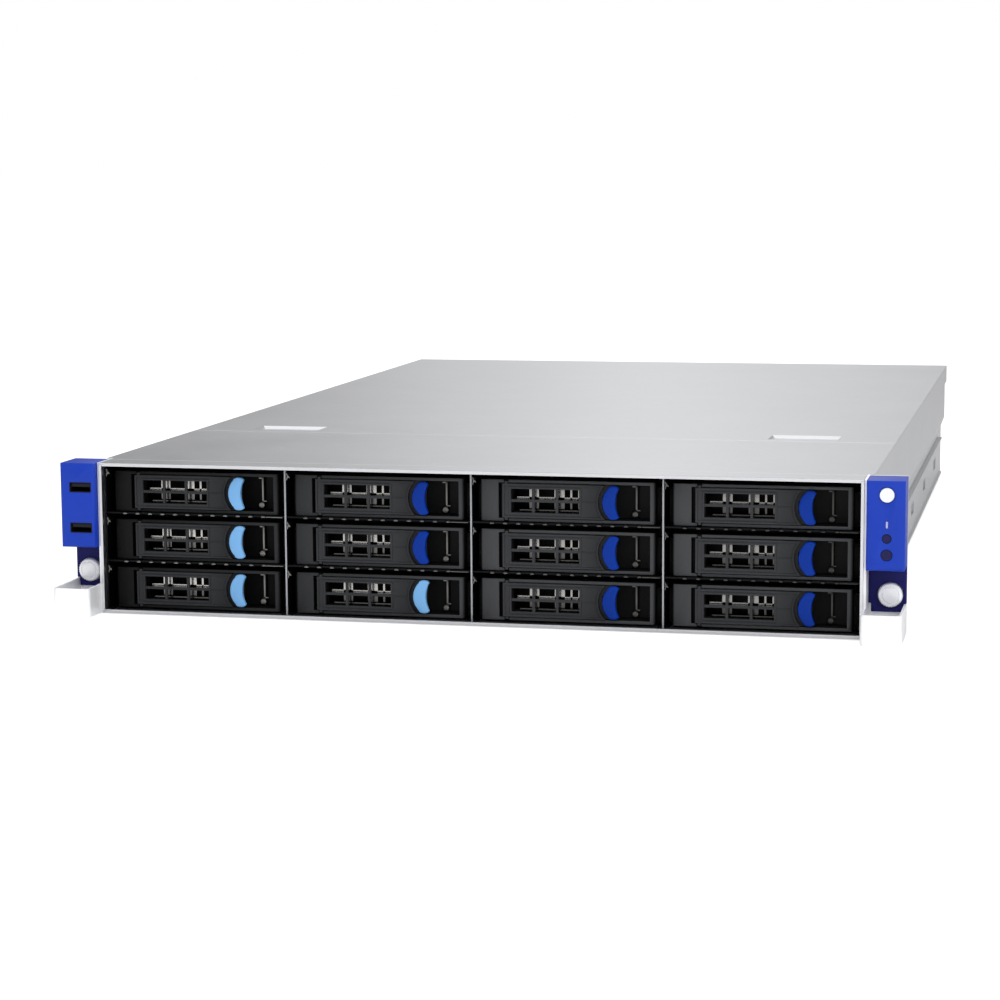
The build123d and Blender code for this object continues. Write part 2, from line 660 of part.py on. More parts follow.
def make_ear_bezel(side, windows):
    """Moulded cover of one ear: hollow upper block, thin lower plate round the screw head."""
    inner = EAR_SIDE + TURN_GAP
    left, right = sorted((side * inner, side * EAR_HALF))
    with BuildPart() as bezel:
        block(left, right, EAR_BLOCK_LOW, EAR_TOP, -EAR_PROUD, EAR_FLANGE_DEPTH)
        front_face = bezel.faces().sort_by(Axis.Y)[0]
        chamfer(front_face.edges(), EAR_EDGE)
        block(
            left + EAR_WALL,
            right - EAR_WALL,
            EAR_BLOCK_LOW + EAR_WALL,
            EAR_TOP - EAR_WALL,
            EAR_WALL - EAR_PROUD,
            EAR_FLANGE_DEPTH,
            mode=Mode.SUBTRACT,
        )
        # Lower plate, narrower where the handle strips pass
        plate_near = EAR_FLANGE_DEPTH - LOWER_PLATE
        block(left, right, HANDLE_HIGH + SLIDE_GAP, EAR_BLOCK_LOW, plate_near, EAR_FLANGE_DEPTH)
        between = sorted((side * (EAR_SIDE + EAR_SHEET), side * (EAR_HALF - EAR_SHEET - SLIDE_GAP)))
        block(*between, LOWER_PLATE_FOOT, HANDLE_HIGH + SLIDE_GAP, plate_near, EAR_FLANGE_DEPTH)
        opening = 2 * (SCREW_HEAD_RADIUS + SCREW_HOLE_GAP)
        with BuildSketch(facing_front(plate_near)) as hole:
            with Locations((side * HOLE_X, RACK_HOLE_HEIGHT)):
                Rectangle(opening, opening)
        extrude(hole.sketch, amount=-LOWER_PLATE, mode=Mode.SUBTRACT)
        windows()
    return bezel


def usb_windows():
    """Cut the two socket windows through the front wall of the left bezel."""
    with BuildSketch(facing_front(-EAR_PROUD)) as cuts:
        for drop in USB_DROPS:
            with Locations((-USB_CENTRE, EAR_TOP - drop)):
                Rectangle(USB_WIDTH + 2 * USB_FIT, USB_HEIGHT + 2 * USB_FIT)
    extrude(cuts.sketch, amount=-EAR_WALL, mode=Mode.SUBTRACT)


def control_windows():
    """Add a guide boss behind the buttons and cut the button holes and the light slot."""
    controls = (
        (POWER_DROP, POWER_RADIUS),
        (RESET_DROP, RESET_RADIUS),
        (LOCATE_DROP, LOCATE_RADIUS),
    )
    tube_near = EAR_WALL - EAR_PROUD
    tube_far = tube_near + CONTROL_REACH / 2
    for drop, radius in controls:
        half = radius + CONTROL_GAP + CONTROL_GUIDE_WALL
        boss = (-half, half, -half, half)
        block(*boss, tube_near, tube_far, CONTROL_CENTRE, EAR_TOP - drop)
    with BuildSketch(facing_front(-EAR_PROUD)) as cuts:
        for drop, radius in controls:
            with Locations((CONTROL_CENTRE, EAR_TOP - drop)):
                Circle(radius + CONTROL_GAP)
        with Locations((CONTROL_CENTRE, EAR_TOP - LIGHT_DROP)):
            Rectangle(LIGHT_WIDTH, LIGHT_HEIGHT)
    extrude(cuts.sketch, amount=-EAR_PROUD - tube_far, mode=Mode.SUBTRACT)


def make_thumb_screw(side):
    """Captive screw: faceted head, a thinner neck inside the flange, and the thread behind it."""
    centre = (side * HOLE_X, RACK_HOLE_HEIGHT)
    head_back = EAR_FLANGE_DEPTH - SLIDE_GAP
    head_front = head_back - SCREW_HEAD_LENGTH
    thread_near = EAR_FLANGE_DEPTH + EAR_SHEET + SLIDE_GAP
    thread_far = EAR_FLANGE_DEPTH + EAR_SHEET + SCREW_REACH
    with BuildPart() as screw:
        with BuildSketch(facing_front(head_front, *centre)) as head:
            RegularPolygon(SCREW_HEAD_RADIUS, SCREW_HEAD_SIDES)
        extrude(head.sketch, amount=-SCREW_HEAD_LENGTH)
        with BuildSketch(facing_front(head_back, *centre)) as neck:
            RegularPolygon(SCREW_NECK_RADIUS, SCREW_NECK_SIDES)
        extrude(neck.sketch, amount=head_back - thread_near)
        with BuildSketch(facing_front(thread_near, *centre)) as thread:
            Circle(SCREW_RADIUS)
        extrude(thread.sketch, amount=thread_near - thread_far)
    return screw


for side, hand, windows in ((-1, "left", usb_windows), (1, "right", control_windows)):
    finish(make_ear_bracket(side), f"ear_bracket_{hand}")
    finish(make_ear_bezel(side, windows), f"ear_bezel_{hand}")
    finish(make_thumb_screw(side), f"thumbscrew_{hand}")


# USB sockets: folded metal shells with a tongue, closed behind
with BuildPart() as usb_ports:
    for drop in USB_DROPS:
        with BuildSketch(facing_front(-EAR_PROUD, -USB_CENTRE, EAR_TOP - drop)) as shell:
            Rectangle(USB_WIDTH, USB_HEIGHT)
        extrude(shell.sketch, amount=-USB_LENGTH)
        half_width = USB_WIDTH / 2 - USB_WALL
        half_height = USB_HEIGHT / 2 - USB_WALL
        socket = (-half_width, half_width, -half_height, half_height)
        place = {"x": -USB_CENTRE, "z": EAR_TOP - drop}
        back = USB_LENGTH - EAR_PROUD - USB_WALL
        block(*socket, -EAR_PROUD, back, **place, mode=Mode.SUBTRACT)
        tongue = (USB_WALL - half_width, half_width - USB_WALL, half_height - USB_WALL - USB_TONGUE)
        block(
            *tongue,
            half_height - USB_WALL,
            USB_TONGUE_SETBACK - EAR_PROUD,
            back,
            **place,
        )
finish(usb_ports, "usb_ports")


def make_push_button(drop, radius, proud):
    """Round push button in its guide tube, with a wider foot that keeps it in."""
    guide_end = EAR_WALL - EAR_PROUD + CONTROL_REACH / 2
    foot_near = guide_end + SLIDE_GAP
    place = (CONTROL_CENTRE, EAR_TOP - drop)
    with BuildPart() as button:
        with BuildSketch(facing_front(-EAR_PROUD - proud, *place)) as cap:
            Circle(radius)
        extrude(cap.sketch, amount=-EAR_PROUD - proud - foot_near)
        with BuildSketch(facing_front(foot_near, *place)) as foot:
            Rectangle(2 * (radius + CONTROL_FOOT), 2 * radius)
        extrude(foot.sketch, amount=-CONTROL_FOOT)
    return button


finish(make_push_button(POWER_DROP, POWER_RADIUS, POWER_TRAVEL), "power_button")
finish(make_push_button(RESET_DROP, RESET_RADIUS, 0), "reset_button")
finish(make_push_button(LOCATE_DROP, LOCATE_RADIUS, 0), "locate_button")


def window_cells():
    """Cells of the lever's vent window, in the sketch at hand."""
    cell_width = (WINDOW_WIDTH - (WINDOW_COLUMNS - 1) * WINDOW_BAR) / WINDOW_COLUMNS
    cell_height = (WINDOW_HEIGHT - (WINDOW_ROWS - 1) * WINDOW_BAR) / WINDOW_ROWS
    centre = (LEVER_LEFT + WINDOW_INSET + WINDOW_WIDTH / 2, LEVER_MIDDLE)
    with Locations(centre):
        with GridLocations(
            cell_width + WINDOW_BAR, cell_height + WINDOW_BAR, WINDOW_COLUMNS, WINDOW_ROWS
        ):
            Rectangle(cell_width, cell_height)


def make_carrier(x, z):
    """Sled with its moulded bezel, and the drive held between the rails."""
    pocket_left = CAP_WIDTH - CARRIER_HALF
    pocket_right = CARRIER_HALF - FRAME_END
    recess_left = LEVER_RIGHT
    bezel_back = BEZEL_SETBACK + BEZEL_DEPTH
    rail_inner = DRIVE_WIDTH / 2 + DRIVE_FIT
    with BuildPart() as carrier:
        block(-CARRIER_HALF, CARRIER_HALF, 0, CARRIER_HEIGHT, BEZEL_SETBACK, bezel_back, x, z)
        chamfer(carrier.edges().filter_by(Axis.Z).group_by(Axis.Y)[0], BEZEL_CORNER)
        # Pocket that the lever lies in, and the deeper finger recess at its right
        pocket = (BEZEL_RAIL, CARRIER_HEIGHT - BEZEL_RAIL, BEZEL_SETBACK)
        block(
            pocket_left, pocket_right, *pocket, BEZEL_SETBACK + POCKET_DEPTH, x, z, Mode.SUBTRACT
        )
        block(
            recess_left, pocket_right, *pocket, BEZEL_SETBACK + RECESS_DEPTH, x, z, Mode.SUBTRACT
        )
        # Air window behind the one in the lever
        air_left = LEVER_LEFT + WINDOW_INSET
        air_low = LEVER_MIDDLE - WINDOW_HEIGHT / 2
        air = (air_left, air_left + WINDOW_WIDTH, air_low, air_low + WINDOW_HEIGHT)
        block(*air, BEZEL_SETBACK, bezel_back, x, z, Mode.SUBTRACT)
        # Slots that the lever's pivot pins snap into
        slot_half = PIVOT_RADIUS + TURN_GAP
        pin_slot = (PIVOT_U - slot_half, PIVOT_U + slot_half, 0, CARRIER_HEIGHT)
        block(*pin_slot, BEZEL_SETBACK, PIVOT_DEPTH + slot_half, x, z, Mode.SUBTRACT)
        # Catch strip inside the recess
        catch_left = CARRIER_HALF - CATCH_FROM_END
        catch_near = BEZEL_SETBACK + CATCH_SETBACK
        catch_far = BEZEL_SETBACK + RECESS_DEPTH
        catch = (BEZEL_RAIL, CARRIER_HEIGHT - BEZEL_RAIL, catch_near, catch_far, x, z)
        block(catch_left, catch_left + CATCH_WIDTH, *catch)
        # Rails of the sled, on shoulders behind the bezel
        shoulder_near = BEZEL_SETBACK + SHOULDER_SETBACK
        for side in (-1, 1):
            left, right = sorted((side * (CARRIER_HALF - RAIL_SHEET), side * (rail_inner + RAIL_SHEET)))
            block(left, right, 0, RAIL_HEIGHT, shoulder_near, bezel_back, x, z)
            left, right = sorted((side * rail_inner, side * (rail_inner + RAIL_SHEET)))
            block(left, right, 0, RAIL_HEIGHT, bezel_back, RAIL_END, x, z)
        # Drive: casting with a slightly smaller lid
        half = DRIVE_WIDTH / 2
        drive_top = DRIVE_LIFT + DRIVE_HEIGHT
        drive_back = DRIVE_FRONT + DRIVE_LENGTH
        block(-half, half, DRIVE_LIFT, drive_top - LID_HEIGHT, DRIVE_FRONT, drive_back, x, z)
        block(
            LID_INSET - half,
            half - LID_INSET,
            drive_top - LID_HEIGHT,
            drive_top,
            DRIVE_FRONT + LID_INSET,
            drive_back - LID_INSET,
            x,
            z,
        )
    return carrier


def make_lever(x, z):
    """Swinging front of the carrier: window plate, pivot barrel, and seat for the release."""
    with BuildPart() as lever:
        with BuildSketch(facing_front(LEVER_SETBACK, x, z)) as front:
            with BuildLine():
                Polyline(
                    (LEVER_RIGHT, LEVER_MIDDLE + BUTTON_FLAT),
                    (LEVER_RIGHT + BUTTON_BULGE, LEVER_HIGH),
                    (LEVER_LEFT, LEVER_HIGH),
                    (LEVER_LEFT, LEVER_LOW),
                    (LEVER_RIGHT + BUTTON_BULGE, LEVER_LOW),
                    (LEVER_RIGHT, LEVER_MIDDLE - BUTTON_FLAT),
                    close=True,
                )
            make_face()
        extrude(front.sketch, amount=-LEVER_FRONT_SHEET)
        # Backing that carries the release button, with the slot for its stem
        seat = (LEVER_LOW, LEVER_HIGH, LEVER_BACK, LEVER_REAR, x, z)
        block(LEVER_RIGHT - BUTTON_BULGE, BUTTON_WAIST, *seat)
        slot_half = STEM_HEIGHT / 2 + BUTTON_CLEARANCE
        block(
            STEM_LEFT - BUTTON_TRAVEL - BUTTON_CLEARANCE,
            STEM_LEFT + STEM_WIDTH + BUTTON_CLEARANCE,
            LEVER_MIDDLE - slot_half,
            LEVER_MIDDLE + slot_half,
            LEVER_BACK,
            LEVER_REAR,
            x,
            z,
            Mode.SUBTRACT,
        )
        with BuildSketch(facing_front(LEVER_SETBACK, x, z)) as cells:
            window_cells()
        extrude(cells.sketch, amount=-LEVER_FRONT_SHEET, mode=Mode.SUBTRACT)
        # Moulded pivot pins above and below the end of the lever, round in front and flat behind
        with BuildSketch(Plane.XY.offset(z + LEVER_LOW - PIVOT_REACH)) as pin:
            with Locations((x + PIVOT_U, FRONT_Y + PIVOT_DEPTH)):
                Circle(PIVOT_RADIUS)
                with Locations((0, PIVOT_RADIUS / 2)):
                    Rectangle(2 * PIVOT_RADIUS, PIVOT_RADIUS, mode=Mode.SUBTRACT)
        extrude(pin.sketch, amount=LEVER_HIGH - LEVER_LOW + 2 * PIVOT_REACH)
    return lever


def bowed_edge(end_x, bulge, flats):
    """Points up a side of the crescent that bows left by bulge from end_x, as a few flats."""
    half = BUTTON_HEIGHT / 2
    radius = (half**2 + bulge**2) / (2 * bulge)
    reach = asin(half / radius)
    centre_x = end_x - bulge + radius
    angles = [reach * (2 * index / flats - 1) for index in range(flats + 1)]
    return [
        (centre_x - radius * cos(angle), LEVER_MIDDLE + radius * sin(angle)) for angle in angles
    ]


def make_release(x, z):
    """Crescent release button with a stem in the lever's slot."""
    outer = bowed_edge(BUTTON_SHOULDER, BUTTON_BULGE, BUTTON_OUTER_FLATS)
    inner = bowed_edge(BUTTON_TIP, BUTTON_HOLLOW, BUTTON_INNER_FLATS)
    with BuildPart() as release:
        with BuildSketch(facing_front(BUTTON_FRONT, x, z)) as crescent:
            with BuildLine():
                Polyline(*outer, *reversed(inner), close=True)
            make_face()
        extrude(crescent.sketch, amount=BUTTON_FRONT - BUTTON_BACK)
        stem_half = STEM_HEIGHT / 2
        block(
            STEM_LEFT,
            STEM_LEFT + STEM_WIDTH,
            LEVER_MIDDLE - stem_half,
            LEVER_MIDDLE + stem_half,
            BUTTON_BACK,
            LEVER_REAR,
            x,
            z,
        )
    return release


for row in range(ROWS):
    bay_z = BAY_FLOOR + (ROWS - 1 - row) * BAY_PITCH_Z
    for column, bay_x in enumerate(bay_places):
        bay = f"r{row + 1}_c{column + 1}"
        finish(make_carrier(bay_x, bay_z), f"carrier_{bay}")
        finish(make_lever(bay_x, bay_z), f"lever_{bay}")
        finish(make_release(bay_x, bay_z), f"release_{bay}")


# Slide rail members: channels on the lower side walls, with lanced windows
with BuildPart() as slide_rails:
    for side in (-1, 1):
        with BuildSketch(facing_front(RAIL_START)) as channel:
            with BuildLine():
                Polyline(
                    (side * (FRAME_HALF + RAIL_THICKNESS), RAIL_LOW),
                    (side * FRAME_HALF, RAIL_LOW),
                    (side * FRAME_HALF, RAIL_HIGH),
                    (side * (FRAME_HALF + RAIL_THICKNESS), RAIL_HIGH),
                )
                inward = Side.RIGHT if side > 0 else Side.LEFT
                offset(amount=RAIL_SKIN, kind=Kind.INTERSECTION, side=inward)
            make_face()
        extrude(channel.sketch, amount=RAIL_START - RAIL_FINISH)
        with BuildSketch(Plane.YZ.offset(side * FRAME_HALF)) as lanced:
            middle = (FRONT_Y + (RAIL_START + RAIL_FINISH) / 2, (RAIL_LOW + RAIL_HIGH) / 2)
            with Locations(middle):
                with GridLocations((RAIL_FINISH - RAIL_START) / RAIL_SLOT_COUNT, 0, RAIL_SLOT_COUNT, 1):
                    Rectangle(RAIL_SLOT_LENGTH, RAIL_SLOT_HEIGHT)
        extrude(lanced.sketch, amount=side * RAIL_SKIN, mode=Mode.SUBTRACT)
finish(slide_rails, "slide_rails")


# Backplane: board behind the drives with a connector and an air slot for each
drive_rear = DRIVE_FRONT + DRIVE_LENGTH
backplane_top = TONGUE_LOW - SLIDE_GAP

with BuildPart() as backplane:
    board_half = FRAME_HALF - SHEET - SLIDE_GAP
    board_far = BACKPLANE_DEPTH + BACKPLANE_SHEET
    block(-board_half, board_half, SHEET + BACKPLANE_FOOT, backplane_top, BACKPLANE_DEPTH, board_far)
    for row in range(ROWS):
        drive_low = BAY_FLOOR + row * BAY_PITCH_Z + DRIVE_LIFT
        for x in bay_places:
            plug = (
                -CONNECTOR_WIDTH / 2,
                CONNECTOR_WIDTH / 2,
                CONNECTOR_LIFT,
                CONNECTOR_LIFT + CONNECTOR_HEIGHT,
            )
            block(*plug, drive_rear + CONNECTOR_GAP, BACKPLANE_DEPTH, x, drive_low)
    with BuildSketch(facing_front(BACKPLANE_DEPTH)):
        for row in range(ROWS):
            low = BAY_FLOOR + row * BAY_PITCH_Z + VENT_LIFT
            for x in bay_places:
                sides(x - VENT_WIDTH / 2, x + VENT_WIDTH / 2, low, low + VENT_HEIGHT)
    extrude(amount=-BACKPLANE_SHEET, mode=Mode.SUBTRACT)
finish(backplane, "backplane")


# Fan wall: partition with three fan housings, each with a bridge that carries the motor
fan_places = [(index - (FANS - 1) / 2) * FAN_PITCH for index in range(FANS)]
fan_middle = SHEET + FAN_FOOT + FAN_SIZE / 2
fan_rear = FAN_DEPTH + FAN_THICKNESS
motor_near = fan_rear - FAN_MOTOR_SHEET
bore_radius = FAN_BORE / 2

with BuildPart() as fan_wall:
    wall_half = FRAME_HALF - SHEET - SLIDE_GAP
    block(-wall_half, wall_half, SHEET, FAN_WALL_TOP, FAN_DEPTH, FAN_DEPTH + FAN_WALL_SHEET)
    with BuildSketch(facing_front(FAN_DEPTH)):
        with Locations(*[(x, fan_middle) for x in fan_places]):
            Rectangle(FAN_SIZE, FAN_SIZE)
    extrude(amount=-FAN_THICKNESS)
    with BuildSketch(facing_front(FAN_DEPTH)):
        with Locations(*[(x, fan_middle) for x in fan_places]):
            Circle(bore_radius)
    extrude(amount=-FAN_THICKNESS, mode=Mode.SUBTRACT)
    with BuildSketch(facing_front(motor_near)):
        with Locations(*[(x, fan_middle) for x in fan_places]):
            Rectangle(FAN_SIZE, FAN_BRIDGE_WIDTH)
    extrude(amount=-FAN_MOTOR_SHEET)
finish(fan_wall, "fan_wall")


def make_fan_rotor(x):
    """Faceted hub with a ring of pitched blades, its rear face on the bridge of the housing."""
    hub_near = motor_near - SLIDE_GAP - FAN_HUB_LENGTH
    tip = bore_radius - FAN_TIP_GAP
    half_swing = FAN_BLADE_CHORD / 2 * sin(radians(FAN_BLADE_PITCH)) + FAN_BLADE_SHEET
    blade_end = sqrt(tip**2 - half_swing**2)
    root = FAN_HUB_RADIUS - 2 * FAN_BLADE_SHEET
    middle_y = FRONT_Y + hub_near + FAN_HUB_LENGTH / 2
    with BuildPart() as rotor:
        with BuildSketch(facing_front(hub_near, x, fan_middle)) as hub:
            RegularPolygon(FAN_HUB_RADIUS, 2 * FAN_BLADES)
        extrude(hub.sketch, amount=-FAN_HUB_LENGTH)
        for index in range(FAN_BLADES):
            angle = radians(index * 360 / FAN_BLADES)
            outward = Vector(cos(angle), 0, sin(angle))
            centre = Vector(x, middle_y, fan_middle) + outward * root
            with BuildSketch(Plane(origin=centre, x_dir=(0, 1, 0), z_dir=outward)) as blade:
                Rectangle(FAN_BLADE_CHORD, FAN_BLADE_SHEET, rotation=FAN_BLADE_PITCH)
            extrude(blade.sketch, amount=blade_end - root)
    return rotor


for index, x in enumerate(fan_places):
    finish(make_fan_rotor(x), f"fan_rotor_{index + 1}")


# Motherboard: board on standoffs with sockets, memory, card slots and the rear ports
with BuildPart() as motherboard:
    board_x = BOARD_LEFT + BOARD_WIDTH / 2
    board_y = FRONT_Y + (BOARD_FRONT + BOARD_BACK) / 2
    with BuildSketch(Plane.XY.offset(BOARD_LIFT)):
        with Locations((board_x, board_y)):
            Rectangle(BOARD_WIDTH, BOARD_LENGTH)
    extrude(amount=BOARD_SHEET)
    with BuildSketch(Plane.XY.offset(SHEET)):
        with Locations((board_x, board_y)):
            with GridLocations(
                BOARD_WIDTH / 2 - STANDOFF_INSET, BOARD_LENGTH / 2 - STANDOFF_INSET, 3, 3
            ):
                Rectangle(STANDOFF_WIDTH, STANDOFF_WIDTH)
    extrude(amount=BOARD_LIFT - SHEET)
    for x in SOCKET_X:
        socket_near = SOCKET_DEPTH - SOCKET_SIZE / 2
        half = SOCKET_SIZE / 2
        block(x - half, x + half, BOARD_TOP, SOCKET_TOP, socket_near, socket_near + SOCKET_SIZE)
        memory_near = SOCKET_DEPTH - MEMORY_LENGTH / 2
        with BuildSketch(facing_front(memory_near)):
            for index in range(MEMORY_SLOTS):
                reach = MEMORY_OFFSET + index * MEMORY_PITCH
                for middle in (x - reach, x + reach):
                    low = middle - MEMORY_SHEET / 2
                    sides(low, low + MEMORY_SHEET, BOARD_TOP, BOARD_TOP + MEMORY_HEIGHT)
        extrude(amount=-MEMORY_LENGTH)
    with BuildSketch(facing_front(CARD_SLOT_DEPTH)):
        for x in slot_cover_places:
            left = x - CARD_SLOT_WIDTH / 2
            sides(left, left + CARD_SLOT_WIDTH, BOARD_TOP, BOARD_TOP + CARD_SLOT_HEIGHT)
    extrude(amount=-CARD_SLOT_LENGTH)
    # Rear ports, the network jacks hollow
    port_far = LENGTH + PORT_PROUD
    for left, width, height in port_places:
        block(left, left + width, BOARD_TOP, BOARD_TOP + height, port_far - PORT_LENGTH, port_far)
    for left, width, height in port_places[STACKS : STACKS + JACKS]:
        middle = left + width / 2
        low = BOARD_TOP + JACK_MOUTH_LIFT
        block(
            middle - JACK_MOUTH_WIDTH / 2,
            middle + JACK_MOUTH_WIDTH / 2,
            low,
            low + JACK_MOUTH_HEIGHT,
            port_far - JACK_MOUTH_DEPTH,
            port_far,
            mode=Mode.SUBTRACT,
        )
finish(motherboard, "motherboard")


# Heat sinks: finned blocks on the two processor sockets
with BuildPart() as heat_sinks:
    fin_pitch = (HEAT_SINK_SIZE - HEAT_SINK_FIN) / (HEAT_SINK_FINS - 1)
    sink_near = SOCKET_DEPTH - HEAT_SINK_SIZE / 2
    with BuildSketch(facing_front(sink_near)):
        for x in SOCKET_X:
            left = x - HEAT_SINK_SIZE / 2
            sides(left, left + HEAT_SINK_SIZE, SOCKET_TOP, SOCKET_TOP + HEAT_SINK_BASE)
            for index in range(HEAT_SINK_FINS):
                fin_left = left + index * fin_pitch
                sides(fin_left, fin_left + HEAT_SINK_FIN, SOCKET_TOP, SOCKET_TOP + HEAT_SINK_HEIGHT)
    extrude(amount=-HEAT_SINK_SIZE)
finish(heat_sinks, "heat_sinks")


def make_supply(floor):
    """Hot-swap power supply: case, air slits, mains inlet with pins, and a loop handle."""
    face = LENGTH
    place = {"x": SUPPLY_LEFT, "z": floor}
    middle = SUPPLY_HEIGHT / 2
    with BuildPart() as supply:
        block(0, SUPPLY_WIDTH, 0, SUPPLY_HEIGHT, LENGTH - SUPPLY_LENGTH, face, **place)
        # Air slits
        with BuildSketch(facing_front(face, SUPPLY_LEFT, floor)) as slits:
            with Locations((SUPPLY_SLIT_X, middle)):
                with GridLocations(0, SUPPLY_SLIT_PITCH, 1, SUPPLY_SLITS):
                    Rectangle(SUPPLY_SLIT_LENGTH, SUPPLY_SLIT_HEIGHT)
        extrude(slits.sketch, amount=SUPPLY_SLIT_DEPTH, mode=Mode.SUBTRACT)
        # Mains inlet
        inlet_x = SUPPLY_WIDTH - INLET_FROM_EDGE
        inlet = (
            inlet_x - INLET_WIDTH / 2,
            inlet_x + INLET_WIDTH / 2,
            middle - INLET_HEIGHT / 2,
            middle + INLET_HEIGHT / 2,
        )
        block(*inlet, face - INLET_DEPTH, face, **place, mode=Mode.SUBTRACT)
        with BuildSketch(facing_front(face - INLET_DEPTH, SUPPLY_LEFT, floor)) as pins:
            with Locations((inlet_x, middle - INLET_PIN_HEIGHT / 2)):
                with GridLocations(2 * INLET_PIN_SPACING, 0, 2, 1):
                    Rectangle(INLET_PIN_WIDTH, INLET_PIN_HEIGHT)
            with Locations((inlet_x, middle + INLET_PIN_HEIGHT / 2)):
                Rectangle(INLET_PIN_WIDTH, INLET_PIN_HEIGHT)
        extrude(pins.sketch, amount=-INLET_PIN_LENGTH)
        # Loop handle
        handle_low = middle - SUPPLY_HANDLE_HEIGHT / 2
        handle_high = middle + SUPPLY_HANDLE_HEIGHT / 2
        with BuildSketch(Plane.YZ.offset(SUPPLY_LEFT + SUPPLY_HANDLE_X)) as strip:
            with BuildLine():
                far = FRONT_Y + face + SUPPLY_HANDLE_REACH
                Polyline(
                    (FRONT_Y + face, floor + handle_low),
                    (far - SUPPLY_HANDLE_SLOPE, floor + handle_low),
                    (far, floor + handle_low + SUPPLY_HANDLE_SLOPE),
                    (far, floor + handle_high - SUPPLY_HANDLE_SLOPE),
                    (far - SUPPLY_HANDLE_SLOPE, floor + handle_high),
                    (FRONT_Y + face, floor + handle_high),
                )
                offset(amount=SUPPLY_HANDLE_BAR, kind=Kind.INTERSECTION, side=Side.LEFT)
            make_face()
        extrude(strip.sketch, amount=SUPPLY_HANDLE_WIDTH)
    return supply


for index, floor in enumerate(SUPPLY_FLOORS):
    finish(make_supply(floor), f"power_supply_{index + 1}")
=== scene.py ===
# %% [markdown]
# # Dressing a two-unit rack server
# The real object is a shallow steel case, 482.6 mm across its ears and 87.5 mm high, with twelve
# drive trays in front. The CAD model has nearly every piece at its true size, so this lesson never
# moves or reshapes a CAD part. It gives them finishes, swaps the ones that the eye rests on for
# finer meshes, and adds a few small bright things that CAD leaves out. The frame has to be loaded
# first, because everything rides on its bodies.

# %% Load the frame
import math
import bpy
import bmesh
from mathutils import Matrix, Quaternion, Vector


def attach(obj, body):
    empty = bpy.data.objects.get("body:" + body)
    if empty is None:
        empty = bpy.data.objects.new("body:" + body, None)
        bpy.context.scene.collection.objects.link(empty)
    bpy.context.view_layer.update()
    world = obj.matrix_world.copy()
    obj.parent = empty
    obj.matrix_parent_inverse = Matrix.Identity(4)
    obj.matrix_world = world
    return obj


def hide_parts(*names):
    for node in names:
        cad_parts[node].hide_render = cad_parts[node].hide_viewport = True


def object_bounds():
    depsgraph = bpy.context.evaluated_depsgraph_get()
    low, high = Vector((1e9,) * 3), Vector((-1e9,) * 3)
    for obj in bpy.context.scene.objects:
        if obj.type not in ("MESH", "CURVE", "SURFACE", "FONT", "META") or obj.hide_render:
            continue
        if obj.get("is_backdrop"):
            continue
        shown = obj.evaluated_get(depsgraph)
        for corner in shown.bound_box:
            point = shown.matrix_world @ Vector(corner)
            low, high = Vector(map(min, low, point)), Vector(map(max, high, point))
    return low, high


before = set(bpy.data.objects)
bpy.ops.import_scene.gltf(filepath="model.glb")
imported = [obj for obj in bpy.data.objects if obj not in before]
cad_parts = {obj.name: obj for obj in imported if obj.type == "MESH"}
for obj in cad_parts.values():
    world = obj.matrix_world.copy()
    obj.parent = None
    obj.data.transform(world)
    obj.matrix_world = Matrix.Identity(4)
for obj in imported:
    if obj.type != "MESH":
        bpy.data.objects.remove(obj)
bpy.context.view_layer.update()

# %% [markdown]
# ## Lengths
# Blender works in metres and this object was measured in millimetres, so every length below is
# written in millimetres and multiplied once. A depth is counted from the front edge of the case,
# as a person with a calliper would do it, and FRONT turns it into a place on Y.

# %% Millimetres and depths
MM = 0.001
FRONT = -376.0
BAY_X = (-163.2, -54.4, 54.4, 163.2)
BAY_Z = (58.7, 30.6, 2.5)
BAYS = [(row, column) for row in range(3) for column in range(4)]
# Heights above the ground and depths of faces that several pieces share.
BOARD_TOP = 9.6
BACKPLANE_FACE = 175.0
AT_FRONT = (0, FRONT * MM, 0)


def bay_place(row, column):
    """The lower middle of a bay, on the front edge of the case."""
    return Vector((BAY_X[column] * MM, FRONT * MM, BAY_Z[row] * MM))


def bay_name(row, column):
    """What the names of a bay's pieces end in, such as r1_c4."""
    return f"r{row + 1}_c{column + 1}"


print(len(BAYS), "bays,", bay_name(0, 0), "at", [round(v, 4) for v in bay_place(0, 0)])

# %% [markdown]
# ## Colours and nodes
# A colour is given in sRGB, but shaders add light, so they want linear numbers: one
# function turns one into the other. A second one adds any node, sets it up and links it. Written
# by hand, each node would take four lines, and a material would no longer read as one thought.

# %% Two material helpers
def linear(code):
    """An sRGB hex colour as the linear one that a socket takes."""
    parts = [int(code[place:place + 2], 16) / 255 for place in (1, 3, 5)]
    bent = [part / 12.92 if part <= 0.04045 else ((part + 0.055) / 1.055) ** 2.4 for part in parts]
    return (*bent, 1.0)


def add_node(tree, kind, inputs=None, **settings):
    """Adds a node, sets its properties, then fills or links its inputs."""
    made = tree.nodes.new(kind)
    for name, value in settings.items():
        setattr(made, name, value)
    for socket, value in (inputs or {}).items():
        if isinstance(value, bpy.types.NodeSocket):
            tree.links.new(value, made.inputs[socket])
        else:
            made.inputs[socket].default_value = value
    return made


def new_material(name, **sockets):
    """A material whose shader has these of its own sockets set, written with _ for a space."""
    material = bpy.data.materials.new(name)
    material.use_nodes = True
    shader = material.node_tree.nodes["Principled BSDF"]
    for socket, value in sockets.items():
        shader.inputs[socket.replace("_", " ")].default_value = value
    return material, material.node_tree, shader


print("white is", linear("#FFFFFF"), "and middle grey", round(linear("#808080")[0], 3))

